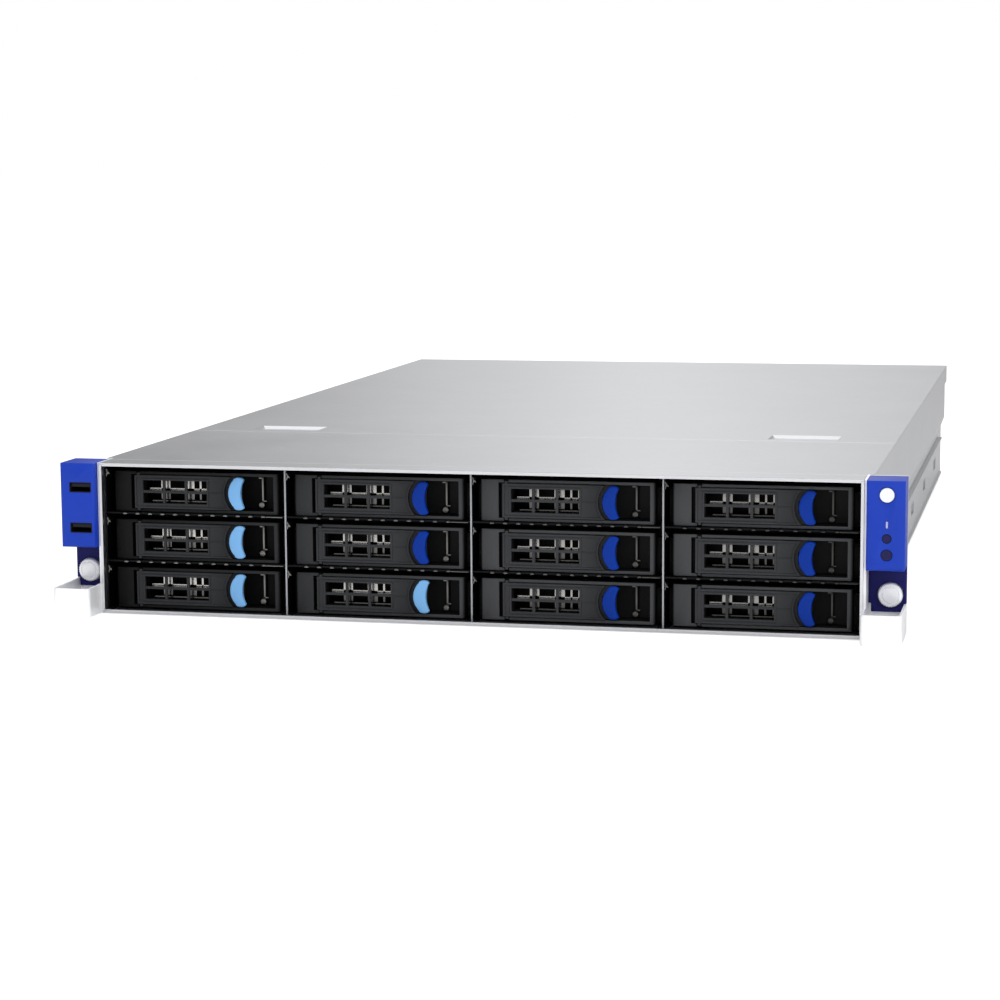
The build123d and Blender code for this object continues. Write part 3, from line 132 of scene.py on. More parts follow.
# %% [markdown]
# ## Sheet steel
# The case is folded from hot-dip galvanised sheet. Zinc freezes in crystals about 8 mm across,
# rolled nearly flat, so the eye gets a soft silver with faint cells, a slight mottle over a hand's
# width, and no mirror. It could be painted as one grey, but then the big lid looks like card. The
# cells come from a Voronoi pattern and the mottle from noise; both only nudge colour and gloss.

# %% Galvanised and plated steel
def sheet_metal(name, dark, light, gloss, cell=8.0, mottle=60.0, metallic=1.0):
    """Metal sheet between two colours, with crystal cells and a mottle of these sizes in mm."""
    material, tree, shader = new_material(name, Metallic=metallic)
    place = add_node(tree, "ShaderNodeTexCoord").outputs["Object"]
    cells = add_node(tree, "ShaderNodeTexVoronoi", {"Vector": place, "Scale": 1000 / cell})
    cloud = add_node(tree, "ShaderNodeTexNoise",
                     {"Vector": place, "Scale": 1000 / mottle, "Detail": 3.0})
    both = add_node(tree, "ShaderNodeMath", {0: cells.outputs["Color"], 1: 0.22},
                    operation="MULTIPLY")
    blend = add_node(
        tree, "ShaderNodeMath", {0: cloud.outputs["Fac"], 1: 0.78, 2: both.outputs[0]},
        operation="MULTIPLY_ADD",
    )
    colour = add_node(tree, "ShaderNodeMix",
                      {0: blend.outputs[0], 6: linear(dark), 7: linear(light)}, data_type="RGBA")
    rough = add_node(tree, "ShaderNodeMapRange",
                     {"Value": blend.outputs[0], "To Min": gloss[0], "To Max": gloss[1]})
    grain = add_node(tree, "ShaderNodeTexNoise",
                     {"Vector": place, "Scale": 1000 / 1.2, "Detail": 2.0})
    bump = add_node(tree, "ShaderNodeBump",
                    {"Height": grain.outputs["Fac"], "Strength": 0.04, "Distance": 0.1 * MM})
    tree.links.new(colour.outputs[2], shader.inputs["Base Color"])
    tree.links.new(rough.outputs[0], shader.inputs["Roughness"])
    tree.links.new(bump.outputs[0], shader.inputs["Normal"])
    return material


# Lid, panels and supplies: broad, matt silver with cells that only show at an angle.
galvanised_steel = sheet_metal(
    "galvanised_steel_skin_passed", "#D3D4D7", "#E0E1E4", (0.3, 0.38))
# Handles, screws and port shells: zinc plated after forming, so almost white. They are only
# partly metallic, which keeps them pale where the tent around them is dim.
zinc_plated_steel = sheet_metal(
    "zinc_plated_steel_bright", "#F0F1F3", "#FAFAFB", (0.3, 0.4), cell=3.0, metallic=0.35)
# The cage inside the bays: the same sheet, made nearly black, as no light reaches it in the
# picture.
cage_steel = sheet_metal("galvanised_steel_dull_cage", "#16171A", "#26282B", (0.45, 0.6))
# The shields in the trays: nickel plate, which is a touch warmer than zinc.
nickel_plate = sheet_metal(
    "nickel_plated_spring_steel", "#B9B7B2", "#DEDCD8", (0.2, 0.32), cell=2.0, mottle=12.0)
# Catches, bumps, guide fingers and shelf ends: the same plate, duller, and darker by painted shade.
shaded_dull_nickel = sheet_metal(
    "nickel_plated_steel_scuffed", "#6E6D6A", "#A09E9A", (0.3, 0.45), cell=2.0, mottle=6.0)
# Sheared edges of the dividers: bare steel between two skins of zinc, so a plain grey.
sheared_steel = sheet_metal(
    "galvanised_steel_sheared_edge", "#8E9095", "#B2B4B9", (0.4, 0.5), cell=2.0, metallic=0.5)
# Drive bodies: die-cast aluminium, dull and fine-grained.
cast_aluminium = sheet_metal(
    "die_cast_aluminium_drive", "#8B8E91", "#B4B6B8", (0.42, 0.58), cell=1.5, mottle=20.0)
# Heat sinks: extruded aluminium, with a long soft sheen.
extruded_aluminium = sheet_metal(
    "extruded_aluminium_fins", "#A9ABAE", "#D5D7D9", (0.28, 0.42), cell=5.0)
METALS = [m.name for m in bpy.data.materials if "steel" in m.name or "aluminium" in m.name]
print("metals:", METALS)

# %% [markdown]
# ## Moulded plastic
# The ears, trays and buttons are injection moulded. The tool is spark-eroded, which leaves a fine
# even grain of about 0.4 mm that breaks up the shine, and the plastic itself is one colour all
# through. So the colour only drifts a little, and the grain goes into bump and roughness.

# %% Plastics
def moulded(name, colour, shade, rough, grain=0.4, depth=0.06, ior=1.5, gleam=0.2):
    """Moulded plastic that drifts from colour to shade, with an eroded grain of that size in mm."""
    material, tree, shader = new_material(name, IOR=ior, Specular_IOR_Level=gleam)
    place = add_node(tree, "ShaderNodeTexCoord").outputs["Object"]
    drift = add_node(tree, "ShaderNodeTexNoise",
                     {"Vector": place, "Scale": 1000 / 35, "Detail": 2.0})
    hue = add_node(tree, "ShaderNodeMix",
                   {0: drift.outputs["Fac"], 6: linear(shade), 7: linear(colour)}, data_type="RGBA")
    pits = add_node(tree, "ShaderNodeTexNoise",
                    {"Vector": place, "Scale": 1000 / grain, "Detail": 2.0})
    gloss = add_node(tree, "ShaderNodeMapRange",
                     {"Value": pits.outputs["Fac"], "To Min": rough - 0.06, "To Max": rough + 0.08})
    bump = add_node(tree, "ShaderNodeBump",
                    {"Height": pits.outputs["Fac"], "Strength": 0.25, "Distance": depth * MM})
    tree.links.new(hue.outputs[2], shader.inputs["Base Color"])
    tree.links.new(gloss.outputs[0], shader.inputs["Roughness"])
    tree.links.new(bump.outputs[0], shader.inputs["Normal"])
    return material


# Ears: ABS in a saturated royal blue with a satin face.
blue_abs = moulded("abs_moulded_royal_blue", "#1038AC", "#0C3098", 0.4, ior=1.53)
# Lower plates of the ears and the screw collars: the same ABS, made a darker navy.
navy_abs = moulded("abs_moulded_navy", "#1E1E62", "#18184E", 0.45, ior=1.53, gleam=0.1)
# Levers: glass-filled PC-ABS, dark grey, coarser grain, soft highlights.
tray_plastic = moulded(
    "pc_abs_moulded_charcoal", "#36373A", "#2C2D30", 0.5, grain=0.6, ior=1.58, gleam=0.15)
# Sleds: the same plastic, a little lighter and matter, before the painted shade below.
sled_plastic = moulded(
    "pc_abs_moulded_sled", "#424345", "#3B3C3E", 0.55, grain=0.6, ior=1.58, gleam=0.1)
# Release buttons: acetal, slippery and slightly waxy, in two blues.
light_acetal = moulded(
    "acetal_moulded_light_blue", "#76AADC", "#6A9ECE", 0.32, grain=0.8, depth=0.03, ior=1.48)
deep_acetal = moulded(
    "acetal_moulded_deep_blue", "#06328E", "#042A82", 0.3,
    grain=0.8, depth=0.03, ior=1.48, gleam=0.1)
# Small black parts: glass-filled nylon of connectors and sockets.
black_nylon = moulded("nylon_moulded_black", "#17181A", "#101113", 0.42, ior=1.53)
# Power button: silver-pigmented ABS, pale and pearly.
silver_abs = moulded("abs_moulded_silver_pearl", "#E4E5E8", "#D2D4D8", 0.3, ior=1.53)
# Small buttons in the ear: very dark blue ABS.
dark_abs = moulded("abs_moulded_dark_navy", "#15154A", "#10103C", 0.38, ior=1.53)
# Light pipe beside the buttons: clear acrylic over an unlit lamp, pale and slightly violet.
pipe_acrylic = moulded("acrylic_moulded_light_pipe", "#A9AEE0", "#9298CC", 0.2, ior=1.49, gleam=0.5)
print("plastics:", [m.name for m in bpy.data.materials if "moulded" in m.name])

# %% [markdown]
# ## Shade along an axis
# In the picture a tray's face is grey while its pocket is black, and the trays at the left are
# darker than those at the right. That is light and not paint, and lamps alone could do it, but a
# lamp weak enough for the pockets leaves the blue ears dull. So the fade is painted: a finish may
# dim along one axis. The price is that a tray which slides out takes its black pocket with it.

# %% Shade
def shade_along(material, axis, start, stop, low, high, world=False):
    """Dims a finish from low at start mm to high at stop mm, along an axis of piece or world."""
    tree = material.node_tree
    colour_in = tree.nodes["Principled BSDF"].inputs["Base Color"]
    if world:
        place = add_node(tree, "ShaderNodeNewGeometry").outputs["Position"]
    else:
        place = add_node(tree, "ShaderNodeTexCoord").outputs["Object"]
    spot = add_node(tree, "ShaderNodeSeparateXYZ", {0: place}).outputs[axis]
    level = add_node(tree, "ShaderNodeMapRange", {
        "Value": spot, "From Min": start * MM, "From Max": stop * MM, "To Min": low, "To Max": high,
    })
    undimmed = colour_in.links[0].from_socket
    dimmed = add_node(tree, "ShaderNodeMix", {0: 1.0, 6: undimmed, 7: level.outputs[0]},
                      data_type="RGBA", blend_type="MULTIPLY")
    tree.links.new(dimmed.outputs[2], colour_in)


# The sled's front face keeps its grey, and 1 mm behind it the pocket is painted black as shade.
# Both get painted shade in the left half of the server.
shade_along(sled_plastic, "Y", FRONT + 8.1, FRONT + 9.3, 1.0, 0.1)
shade_along(sled_plastic, "X", -210, 10, 0.07, 1.0, world=True)
# Levers get a little painted shade there too, and each one more of it beside its button.
shade_along(tray_plastic, "X", -210, 10, 0.72, 1.0, world=True)
shade_along(tray_plastic, "X", 5, 17, 1.0, 0.6)
# Of a drive only the front edge shows, in the dark behind the window: painted shade.
shade_along(cast_aluminium, "Y", FRONT + 23.5, FRONT + 27, 0.03, 1.0)
# Painted shade on the shield's lower half; it glints above the middle bar, where light falls in.
shade_along(nickel_plate, "Z", 11.2, 12.4, 0.22, 1.0)
# The key lamp stands at the right, so bright plate gets painted shade on that side.
shade_along(nickel_plate, "X", -180, 200, 1.0, 0.45, world=True)
shade_along(shaded_dull_nickel, "X", -200, 200, 1.0, 0.25, world=True)
print("shaded", sled_plastic.name, tray_plastic.name, cast_aluminium.name)

# %% [markdown]
# ## Circuit board
# Boards are glass and epoxy under a green solder mask. Mask looks wet, a bit see-through, and
# follows the copper tracks under it. A brick pattern turned into bump and a slight change of
# green stands for the tracks, one every 3.6 mm, coarser than real so that it shows at all. CAD
# keeps a board and its black sockets in one node, so the colour changes where the sockets begin.

# %% Circuit boards
def circuit_board(name, axis, operation, limit):
    """Green board over tracks, and black sockets on that side of limit mm along an axis."""
    material, tree, shader = new_material(name, Roughness=0.3, IOR=1.52)
    place = add_node(tree, "ShaderNodeTexCoord").outputs["Object"]
    tracks = add_node(tree, "ShaderNodeTexBrick", {
        "Vector": place, "Scale": 1000 / 12,
        "Mortar Size": 0.06, "Brick Width": 1.6, "Row Height": 0.3,
        "Color1": linear("#0F4A2C"), "Color2": linear("#0C3F26"), "Mortar": linear("#1C6A40"),
    })
    bump = add_node(tree, "ShaderNodeBump",
                    {"Height": tracks.outputs["Fac"], "Strength": 0.2, "Distance": 0.05 * MM})
    spot = add_node(tree, "ShaderNodeSeparateXYZ", {0: place}).outputs[axis]
    beyond = add_node(tree, "ShaderNodeMath", {0: spot, 1: limit * MM}, operation=operation)
    black = linear("#131416")
    colour = add_node(tree, "ShaderNodeMix",
                      {0: beyond.outputs[0], 6: tracks.outputs["Color"], 7: black},
                      data_type="RGBA")
    tree.links.new(colour.outputs[2], shader.inputs["Base Color"])
    tree.links.new(bump.outputs[0], shader.inputs["Normal"])
    return material


# Sockets stand on top of the main board, and in front of the backplane.
main_board = circuit_board("fr4_main_board_green_mask", "Z", "GREATER_THAN", BOARD_TOP + 0.1)
back_board = circuit_board(
    "fr4_backplane_green_mask", "Y", "LESS_THAN", FRONT + BACKPLANE_FACE - 0.05)
print(main_board.name, back_board.name)

# %% [markdown]
# ## Finishing the CAD parts
# A folded edge is never perfectly sharp: it catches a thread of light, and that thread is what
# makes a render look like metal. The CAD meshes have split corners, so a Weld modifier joins them
# and a Bevel modifier then rounds the sharp edges. Both only act on top of the untouched mesh.

# %% Finish for a CAD node
# From this angle on, an edge counts as sharp and gets rounded.
SHARP = math.radians(50)


def dress(node, material, edge=0.25):
    """Gives a CAD node its material, and rounds its sharp edges by that many mm."""
    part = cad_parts[node]
    for place in part.material_slots:
        place.link = "OBJECT"
        place.material = material
    if edge:
        weld = part.modifiers.new("joined_corners", "WELD")
        weld.merge_threshold = 0.001 * MM
        bevel = part.modifiers.new("rounded_edges", "BEVEL")
        bevel.width = edge * MM
        bevel.segments = 2
        bevel.limit_method = "ANGLE"
        bevel.angle_limit = SHARP
    return part


for node in ("chassis_base", "front_top_panel", "top_cover", "slide_rails", "fan_wall"):
    dress(node, galvanised_steel)
for node in ("ear_bracket_left", "ear_bracket_right"):
    dress(node, zinc_plated_steel)
for node in ("usb_ports", "fan_rotor_1", "fan_rotor_2", "fan_rotor_3"):
    dress(node, black_nylon, 0.1)
dress("backplane", back_board, 0.1)
dress("motherboard", main_board, 0.1)
for node in ("power_supply_1", "power_supply_2"):
    dress(node, galvanised_steel, 0.4)
for node in ("reset_button", "locate_button"):
    dress(node, dark_abs)
dress("drive_cage", cage_steel, 0.1)
dress("heat_sinks", extruded_aluminium, 0.1)
dress("power_button", silver_abs, 0.4)
print("finished", len([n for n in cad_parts.values() if n.modifiers]), "CAD parts")

# %% [markdown]
# ## Making flat parts
# Tray fronts, grilles and buttons are flat mouldings with rounded rims. They could be modelled
# face by face, but a filled 2D curve does it better: its outlines may hold any number of holes,
# and its bevel rolls every rim, inside and out. The curve is turned upright and kept as a mesh.

# %% Flat parts from outlines
def flat_mesh(name, outlines, near, far, edge=0.0):
    """A mesh filled between outlines in x and z, from depth near to far, its rims rounded."""
    curve = bpy.data.curves.new(name, "CURVE")
    curve.dimensions = "2D"
    curve.fill_mode = "BOTH"
    curve.extrude = ((far - near) / 2 - edge) * MM
    curve.bevel_depth = edge * MM
    curve.bevel_resolution = 2
    curve.offset = -edge * MM
    for outline in outlines:
        spline = curve.splines.new("POLY")
        spline.points.add(len(outline) - 1)
        for point, (x, z) in zip(spline.points, outline):
            point.co = (x * MM, z * MM, 0, 1)
        spline.use_cyclic_u = True
    holder = bpy.data.objects.new(name, curve)
    bpy.context.scene.collection.objects.link(holder)
    bpy.context.view_layer.update()
    evaluated = holder.evaluated_get(bpy.context.evaluated_depsgraph_get())
    mesh = bpy.data.meshes.new_from_object(evaluated)
    bpy.data.objects.remove(holder)
    mesh.name = name
    upright = Matrix.Rotation(math.radians(90), 4, "X")
    mesh.transform(Matrix.Translation((0, (near + far) / 2 * MM, 0)) @ upright)
    return mesh


def rectangle(left, right, low, high):
    """Four corners in order, round the rectangle."""
    return [(left, low), (right, low), (right, high), (left, high)]


def ring_points(radius, sides, x=0.0, z=0.0):
    """Points of a circle."""
    turns = [2 * math.pi * step / sides for step in range(sides)]
    return [(x + radius * math.cos(turn), z + radius * math.sin(turn)) for turn in turns]


def joined(name, meshes):
    """One mesh from several, welded where they meet."""
    whole = bmesh.new()
    for mesh in meshes:
        whole.from_mesh(mesh)
    bmesh.ops.remove_doubles(whole, verts=whole.verts, dist=0.002 * MM)
    bmesh.ops.recalc_face_normals(whole, faces=whole.faces)
    made = bpy.data.meshes.new(name)
    whole.to_mesh(made)
    whole.free()
    return made


def piece(name, mesh, material, body, at=(0, 0, 0), stands_for=()):
    """Places a mesh as a piece of the object that rides on a body, with its finish."""
    thing = bpy.data.objects.new(name, mesh)
    thing.location = at
    bpy.context.scene.collection.objects.link(thing)
    if not mesh.materials:
        mesh.materials.append(None)
    thing.material_slots[0].link = "OBJECT"
    thing.material_slots[0].material = material
    mesh.shade_smooth()
    mesh.set_sharp_from_angle(angle=math.radians(35))
    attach(thing, body)
    if stands_for:
        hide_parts(*stands_for)
    return thing


test_plate = flat_mesh("test_plate", [rectangle(0, 9, 0, 9)], 0, 1, 0.2)
print("a test plate has", len(test_plate.vertices), "corners")

# %% [markdown]
# ## Sleds and drives
# Each carrier is a plastic sled with a steel-grey drive in it, and CAD keeps both in one node. A
# node can wear only one finish, so its two solids are copied apart: joined corners first, then
# flat faces made whole again, because a bevel runs cleanly only round whole faces.

# %% Split the carriers
def solids_of(node):
    """The separate solids of a CAD node as clean bmeshes, nearest to the front first."""
    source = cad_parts[node]
    whole = bmesh.new()
    whole.from_mesh(source.data)
    whole.transform(source.matrix_world)
    bmesh.ops.remove_doubles(whole, verts=whole.verts, dist=0.001 * MM)
    left = set(whole.faces)
    groups = []
    while left:
        stack, group = [left.pop()], set()
        while stack:
            face = stack.pop()
            group.add(face)
            for edge in face.edges:
                for other in edge.link_faces:
                    if other in left:
                        left.discard(other)
                        stack.append(other)
        groups.append(group)
    groups.sort(key=lambda group: min(v.co.y for face in group for v in face.verts))
    found = []
    for group in groups:
        kept = {face.index for face in group}
        part = whole.copy()
        part.faces.ensure_lookup_table()
        others = [face for face in part.faces if face.index not in kept]
        bmesh.ops.delete(part, geom=others, context="FACES")
        bmesh.ops.dissolve_limit(part, angle_limit=0.01, verts=part.verts, edges=part.edges)
        found.append(part)
    whole.free()
    return found


def rounded_rims(part, width):
    """Rounds the sharp edges of a bmesh by width mm."""
    sharp = [e for e in part.edges if len(e.link_faces) == 2 and e.calc_face_angle() > SHARP]
    bmesh.ops.bevel(part, geom=sharp, offset=width * MM, segments=2, profile=0.5, affect="EDGES",
                    clamp_overlap=True)


for row, column in BAYS:
    bay = bay_name(row, column)
    sled, drive = solids_of(f"carrier_{bay}")
    for label, part, material, width in (
        ("tray", sled, sled_plastic, 0.25), ("drive", drive, cast_aluminium, 0.6),
    ):
        rounded_rims(part, width)
        mesh = bpy.data.meshes.new(f"{label}_{bay}")
        part.to_mesh(mesh)
        part.free()
        piece(f"{label}_{bay}", mesh, material, f"carrier_{bay}",
              stands_for=[f"carrier_{bay}"])
print("split the carriers into", 2 * len(BAYS), "pieces")

# %% [markdown]
# ## Behind the tray window
# Behind the lever's vent sits a bright stamped shield with large holes, and how it is pierced is a
# guess from its glints in the picture. In the finger recess is a spring strip with a hooked head
# and a foot. CAD has no shield and only a plain strip, so both are drawn here: their glints make
# the trays readable from afar.

# %% Shield and catch
def strips(name, ranges, near, far, edge=0.1):
    """Several rectangles of sheet in one mesh."""
    return joined(name, [flat_mesh(name, [rectangle(*r)], near, far, edge) for r in ranges])


shield_mesh = strips("window_shield", [
    (-22.4, -16.9, 6.9, 18.2), (-8.1, -2.2, 6.9, 18.2), (0.9, 2.1, 6.9, 18.2),
    (5.4, 6.7, 6.9, 18.2), (-29.5, 6.7, 11.8, 13.5), (-28.0, 6.7, 5.2, 6.3),
], 12.4, 13.0)
catch_mesh = joined("tray_catch", [
    strips("catch_strip", [
        (37.2, 38.2, 3.4, 20.2), (35.4, 38.2, 19.5, 20.3), (37.2, 39.8, 6.2, 6.9),
    ], 16.4, 17.0),
    flat_mesh("catch_knob", [ring_points(1.9, 16, 37.2, 4.3)], 15.2, 17.0, 0.5),
])
for row, column in BAYS:
    bay = bay_name(row, column)
    for label, mesh, finish in (
        ("shield", shield_mesh, nickel_plate), ("catch", catch_mesh, shaded_dull_nickel),
    ):
        piece(f"{label}_{bay}", mesh, finish, f"carrier_{bay}", bay_place(row, column))
print("shields and catches:", 2 * len(BAYS))

# %% [markdown]
# ## The lever
# The lever is the face of the tray: a thin moulding with a raised rim, a barred window, a parting
# line at half height, and a right edge that follows the button beside it. Drawn as outlines at
# three depths it needs no sculpting, and the rims round themselves. Pins and the button's seat
# behind it belong to the same moulding, so they are joined to it.

# %% Lever
# Half the height of a tray's face, and the middle and radius of the arc round the button.
MIDDLE = 11.7
ARC_X, SWEEP = 31.28, 13.68
LEVER_LEFT, LEVER_TOP = -36.8, 21.35


def lever_outline(inset):
    """The lever's outline, drawn in by inset mm, its right side an arc round the button."""
    top = LEVER_TOP - inset
    radius = SWEEP + inset
    reach = math.asin((top - MIDDLE) / radius)
    arc = [reach * (1 - step / 9) for step in range(19)]
    bow = [(ARC_X - radius * math.cos(a), MIDDLE + radius * math.sin(a)) for a in arc]
    return [(LEVER_LEFT + inset, MIDDLE * 2 - top), *reversed(bow), (LEVER_LEFT + inset, top)]


WINDOW_LEFT, WINDOW_LOW = -31.9, 5.0
CELL_W, CELL_H, BAR = 11.93, 5.95, 1.5
cells = []
for across in range(3):
    for up in range(2):
        left = WINDOW_LEFT + across * (CELL_W + BAR)
        low = WINDOW_LOW + up * (CELL_H + BAR)
        cells.append(rectangle(left, left + CELL_W, low, low + CELL_H))
lever_mesh = joined("lever", [
    flat_mesh("lever_face", [lever_outline(0.0), *cells], 7.6, 9.5, 0.2),
    flat_mesh("lever_rim", [lever_outline(0.0), lever_outline(1.1)], 7.0, 7.8, 0.25),
    flat_mesh("window_rim", [
        rectangle(-33.0, 8.0, 3.9, 19.5), rectangle(WINDOW_LEFT, 6.9, WINDOW_LOW, 18.4),
    ], 7.1, 7.8, 0.2),
    flat_mesh("parting_rib", [rectangle(8.0, 16.6, 11.45, 11.95)], 7.3, 7.8, 0.15),
    flat_mesh("button_seat", [
        rectangle(12.4, 27.4, 2.05, LEVER_TOP), rectangle(19.6, 24.8, 8.3, 15.1),
    ], 9.5, 11.5, 0.1),
])
PIVOT_X, PIVOT_DEPTH, PIN_RADIUS = -34.6, 8.3, 1.15


def pin_mesh(low, high):
    """A round pin on the lever's pivot axis, between two heights."""
    whole = bmesh.new()
    bmesh.ops.create_cone(whole, cap_ends=True, segments=20, radius1=PIN_RADIUS * MM,
                          radius2=PIN_RADIUS * MM, depth=(high - low) * MM)
    centre = (PIVOT_X * MM, PIVOT_DEPTH * MM, (low + high) / 2 * MM)
    bmesh.ops.translate(whole, verts=whole.verts, vec=centre)
    made = bpy.data.meshes.new("pin")
    whole.to_mesh(made)
    whole.free()
    return made


lever_mesh = joined("lever", [lever_mesh, pin_mesh(0.8, 3.0), pin_mesh(20.4, 22.6)])
for row, column in BAYS:
    bay = bay_name(row, column)
    piece(f"lever_arm_{bay}", lever_mesh, tray_plastic, f"lever_{bay}", bay_place(row, column),
          [f"lever_{bay}"])
print("lever mesh has", len(lever_mesh.vertices), "corners")

# %% [markdown]
# ## The release button
# The button is a fat crescent with round horns, like a kidney bean, pressed with a fingertip. Its
# outline is two arcs joined by round ends, and its rim is rolled over generously, because a soft
# rim is what tells plastic you touch from plastic you look at.

# %% Release button
def crescent(centre_x, outer, inner_x, inner, half):
    """Outline of a crescent: an outer arc bowing left, an inner arc, and rounded horns."""
    a = math.asin(half / outer)
    b = math.asin(half / inner)
    left = [(centre_x - outer * math.cos(t), MIDDLE + outer * math.sin(t))
            for t in [a * (step / 10 - 1) for step in range(21)]]
    right = [(inner_x - inner * math.cos(t), MIDDLE + inner * math.sin(t))
             for t in [b * (1 - step / 8) for step in range(17)]]
    return left, right


def horn(start, end, lift):
    """Points of a round cap from start to end that rises by lift."""
    middle = Vector(((start[0] + end[0]) / 2, (start[1] + end[1]) / 2))
    reach = (Vector(end) - Vector(start)) / 2
    return [tuple(middle - reach * math.cos(t) + Vector((0, lift)) * math.sin(t))
            for t in [math.pi * step / 8 for step in range(1, 8)]]


left_side, right_side = crescent(centre_x=ARC_X, outer=11.28, inner_x=44.3, inner=16.9, half=7.9)
bean = [*left_side, *horn(left_side[-1], right_side[0], 1.6), *right_side,
        *horn(right_side[-1], left_side[0], -1.6)]
button_mesh = joined("release", [
    flat_mesh("release_face", [bean], 6.2, 9.4, 0.8),
    flat_mesh("release_stem", [rectangle(22.0, 24.4, 8.7, 14.7)], 9.3, 11.5, 0.1),
])
# Bays whose button is light blue in the picture.
LIGHT = {(0, 0), (1, 0), (2, 0), (2, 1)}
for row, column in BAYS:
    bay = bay_name(row, column)
    if (row, column) in LIGHT:
        finish, slot = light_acetal, "light_blue_plastic"
    else:
        finish, slot = deep_acetal, "deep_blue_plastic"
    piece(f"release_button_{bay}", button_mesh, finish, f"release_{bay}", bay_place(row, column),
          [f"release_{bay}"])
print(len(LIGHT), "light blue and", len(BAYS) - len(LIGHT), "deep blue buttons")

# %% [markdown]
# ## Cage edges
# The cage disappears in the dark, but its cut edges don't: dividers end in bright sheared steel,
# and so do the shelves beside them. Under each shelf edge runs a row of small lanced bumps, 7.6 mm
# apart, and at the upper left of each bay is a bent finger. All of them are drawn as small
# separate stampings that ride on the case.

# %% Divider edges, bumps and fingers
DIVIDER_X = (-108.8, 0.0, 108.8)
SHELF_Z = (86.0, 57.9, 29.8)
BUMPS, BUMP_STEP = 12, 7.6
edge_ranges = [(x - 0.5, x + 0.5, 1.3, 86.3) for x in DIVIDER_X]
piece("divider_edges", strips("divider_edges", edge_ranges, 5.6, 6.1, 0.15), sheared_steel,
      "chassis", AT_FRONT)


def bump_mesh():
    """One lanced bump: a half round, open below."""
    whole = bmesh.new()
    bmesh.ops.create_uvsphere(whole, u_segments=12, v_segments=8, radius=1.0 * MM)
    bmesh.ops.scale(whole, verts=whole.verts, vec=(1.5, 1.0, 0.75))
    bmesh.ops.delete(whole, geom=[v for v in whole.verts if v.co.z < -0.3 * MM], context="VERTS")
    made = bpy.data.meshes.new("bump")
    whole.to_mesh(made)
    whole.free()
    return made


bump = bump_mesh()
for row, shelf in enumerate(SHELF_Z):
    rows = bmesh.new()
    for centre in BAY_X:
        for step in range(BUMPS):
            start = len(rows.verts)
            rows.from_mesh(bump)
            rows.verts.ensure_lookup_table()
            new = rows.verts[start:]
            spot = ((centre - 42.4 + BUMP_STEP * step) * MM, 5.6 * MM, (shelf - 0.2) * MM)
            bmesh.ops.translate(rows, verts=new, vec=spot)
    mesh = bpy.data.meshes.new(f"shelf_bumps_{row + 1}")
    rows.to_mesh(mesh)
    rows.free()
    piece(f"shelf_bumps_{row + 1}", mesh, shaded_dull_nickel, "chassis", AT_FRONT)
    # Only the two lower shelves show bright ends.
    if row:
        ends = [(x + 42.0, x + 52.6, shelf - 0.55, shelf - 0.05) for x in BAY_X]
        mesh = strips(f"shelf_ends_{row + 1}", ends, 5.5, 6.0, 0.12)
        piece(f"shelf_ends_{row + 1}", mesh, shaded_dull_nickel, "chassis", AT_FRONT)

# A finger's outline is drawn from its root, and ends short of the drive that slides past it.
FINGER_FROM_BAY = Vector((-53.6 * MM, 0, 20.6 * MM))
finger_outline = [
    (0.2, 4.0), (0.6, 4.0), (1.2, 2.6), (2.2, 1.8), (2.2, 1.0), (1.1, 1.5), (0.6, -0.2),
    (0.2, -0.2), (0.2, 0.6), (0.7, 2.2), (0.2, 3.2),
]
finger_mesh = flat_mesh("guide_finger", [finger_outline], 5.2, 5.8, 0.12)
for row, column in BAYS:
    place = bay_place(row, column) + FINGER_FROM_BAY
    piece(f"guide_finger_{bay_name(row, column)}", finger_mesh, shaded_dull_nickel, "chassis", place)
print("bumps under each shelf:", BUMPS * len(BAY_X))

# %% [markdown]
# ## Ears
# Each ear cover is one moulding, but the picture shows it in two blues: its block is royal blue,
# and the thin plate under it, round the thumb screw, is navy. A copy of the CAD solid is cut at
# the block's lower edge, so that the lower half can be given a darker navy. A small plate with a
# round hole closes the corners between the screw and the square opening behind it.

# %% Ear covers
SCREW_X, SCREW_Z = 232.55, 22.2
BLOCK_FOOT = 38.4
COLLAR_HALF, COLLAR_HOLE = 7.1, 6.98
for side, sign in (("left", -1), ("right", 1)):
    for label, upward, material in (("block", 1, blue_abs), ("plate", -1, navy_abs)):
        (part,) = solids_of(f"ear_bezel_{side}")
        bmesh.ops.bisect_plane(
            part, geom=[*part.verts, *part.edges, *part.faces], dist=0.001 * MM,
            plane_co=(0, 0, BLOCK_FOOT * MM), plane_no=(0, 0, upward), clear_inner=True)
        bmesh.ops.holes_fill(part, edges=[e for e in part.edges if e.is_boundary], sides=0)
        rounded_rims(part, 0.35)
        mesh = bpy.data.meshes.new(f"ear_{label}_{side}")
        part.to_mesh(mesh)
        part.free()
        piece(f"ear_{label}_{side}", mesh, material, "chassis",
              stands_for=[f"ear_bezel_{side}"])
    middle = sign * SCREW_X
    collar = flat_mesh("screw_collar", [
        rectangle(middle - COLLAR_HALF, middle + COLLAR_HALF,
                  SCREW_Z - COLLAR_HALF, SCREW_Z + COLLAR_HALF),
        ring_points(COLLAR_HOLE, 40, middle, SCREW_Z),
    ], 18.1, 19.6)
    piece(f"screw_collar_{side}", collar, navy_abs, "chassis", AT_FRONT)
print("ear covers cut in two")

# %% [markdown]
# ## Thumb screws and small controls
# The screws are turned from steel and zinc plated: a knurled rim to grip, a shallow groove and a
# low dome. Turning is what a lathe does, so the mesh is turned too, from a profile of radius and
# depth, with every second column of the rim pushed in for the knurl. Above them, beside the
# buttons, a light pipe ends in a small upright window.

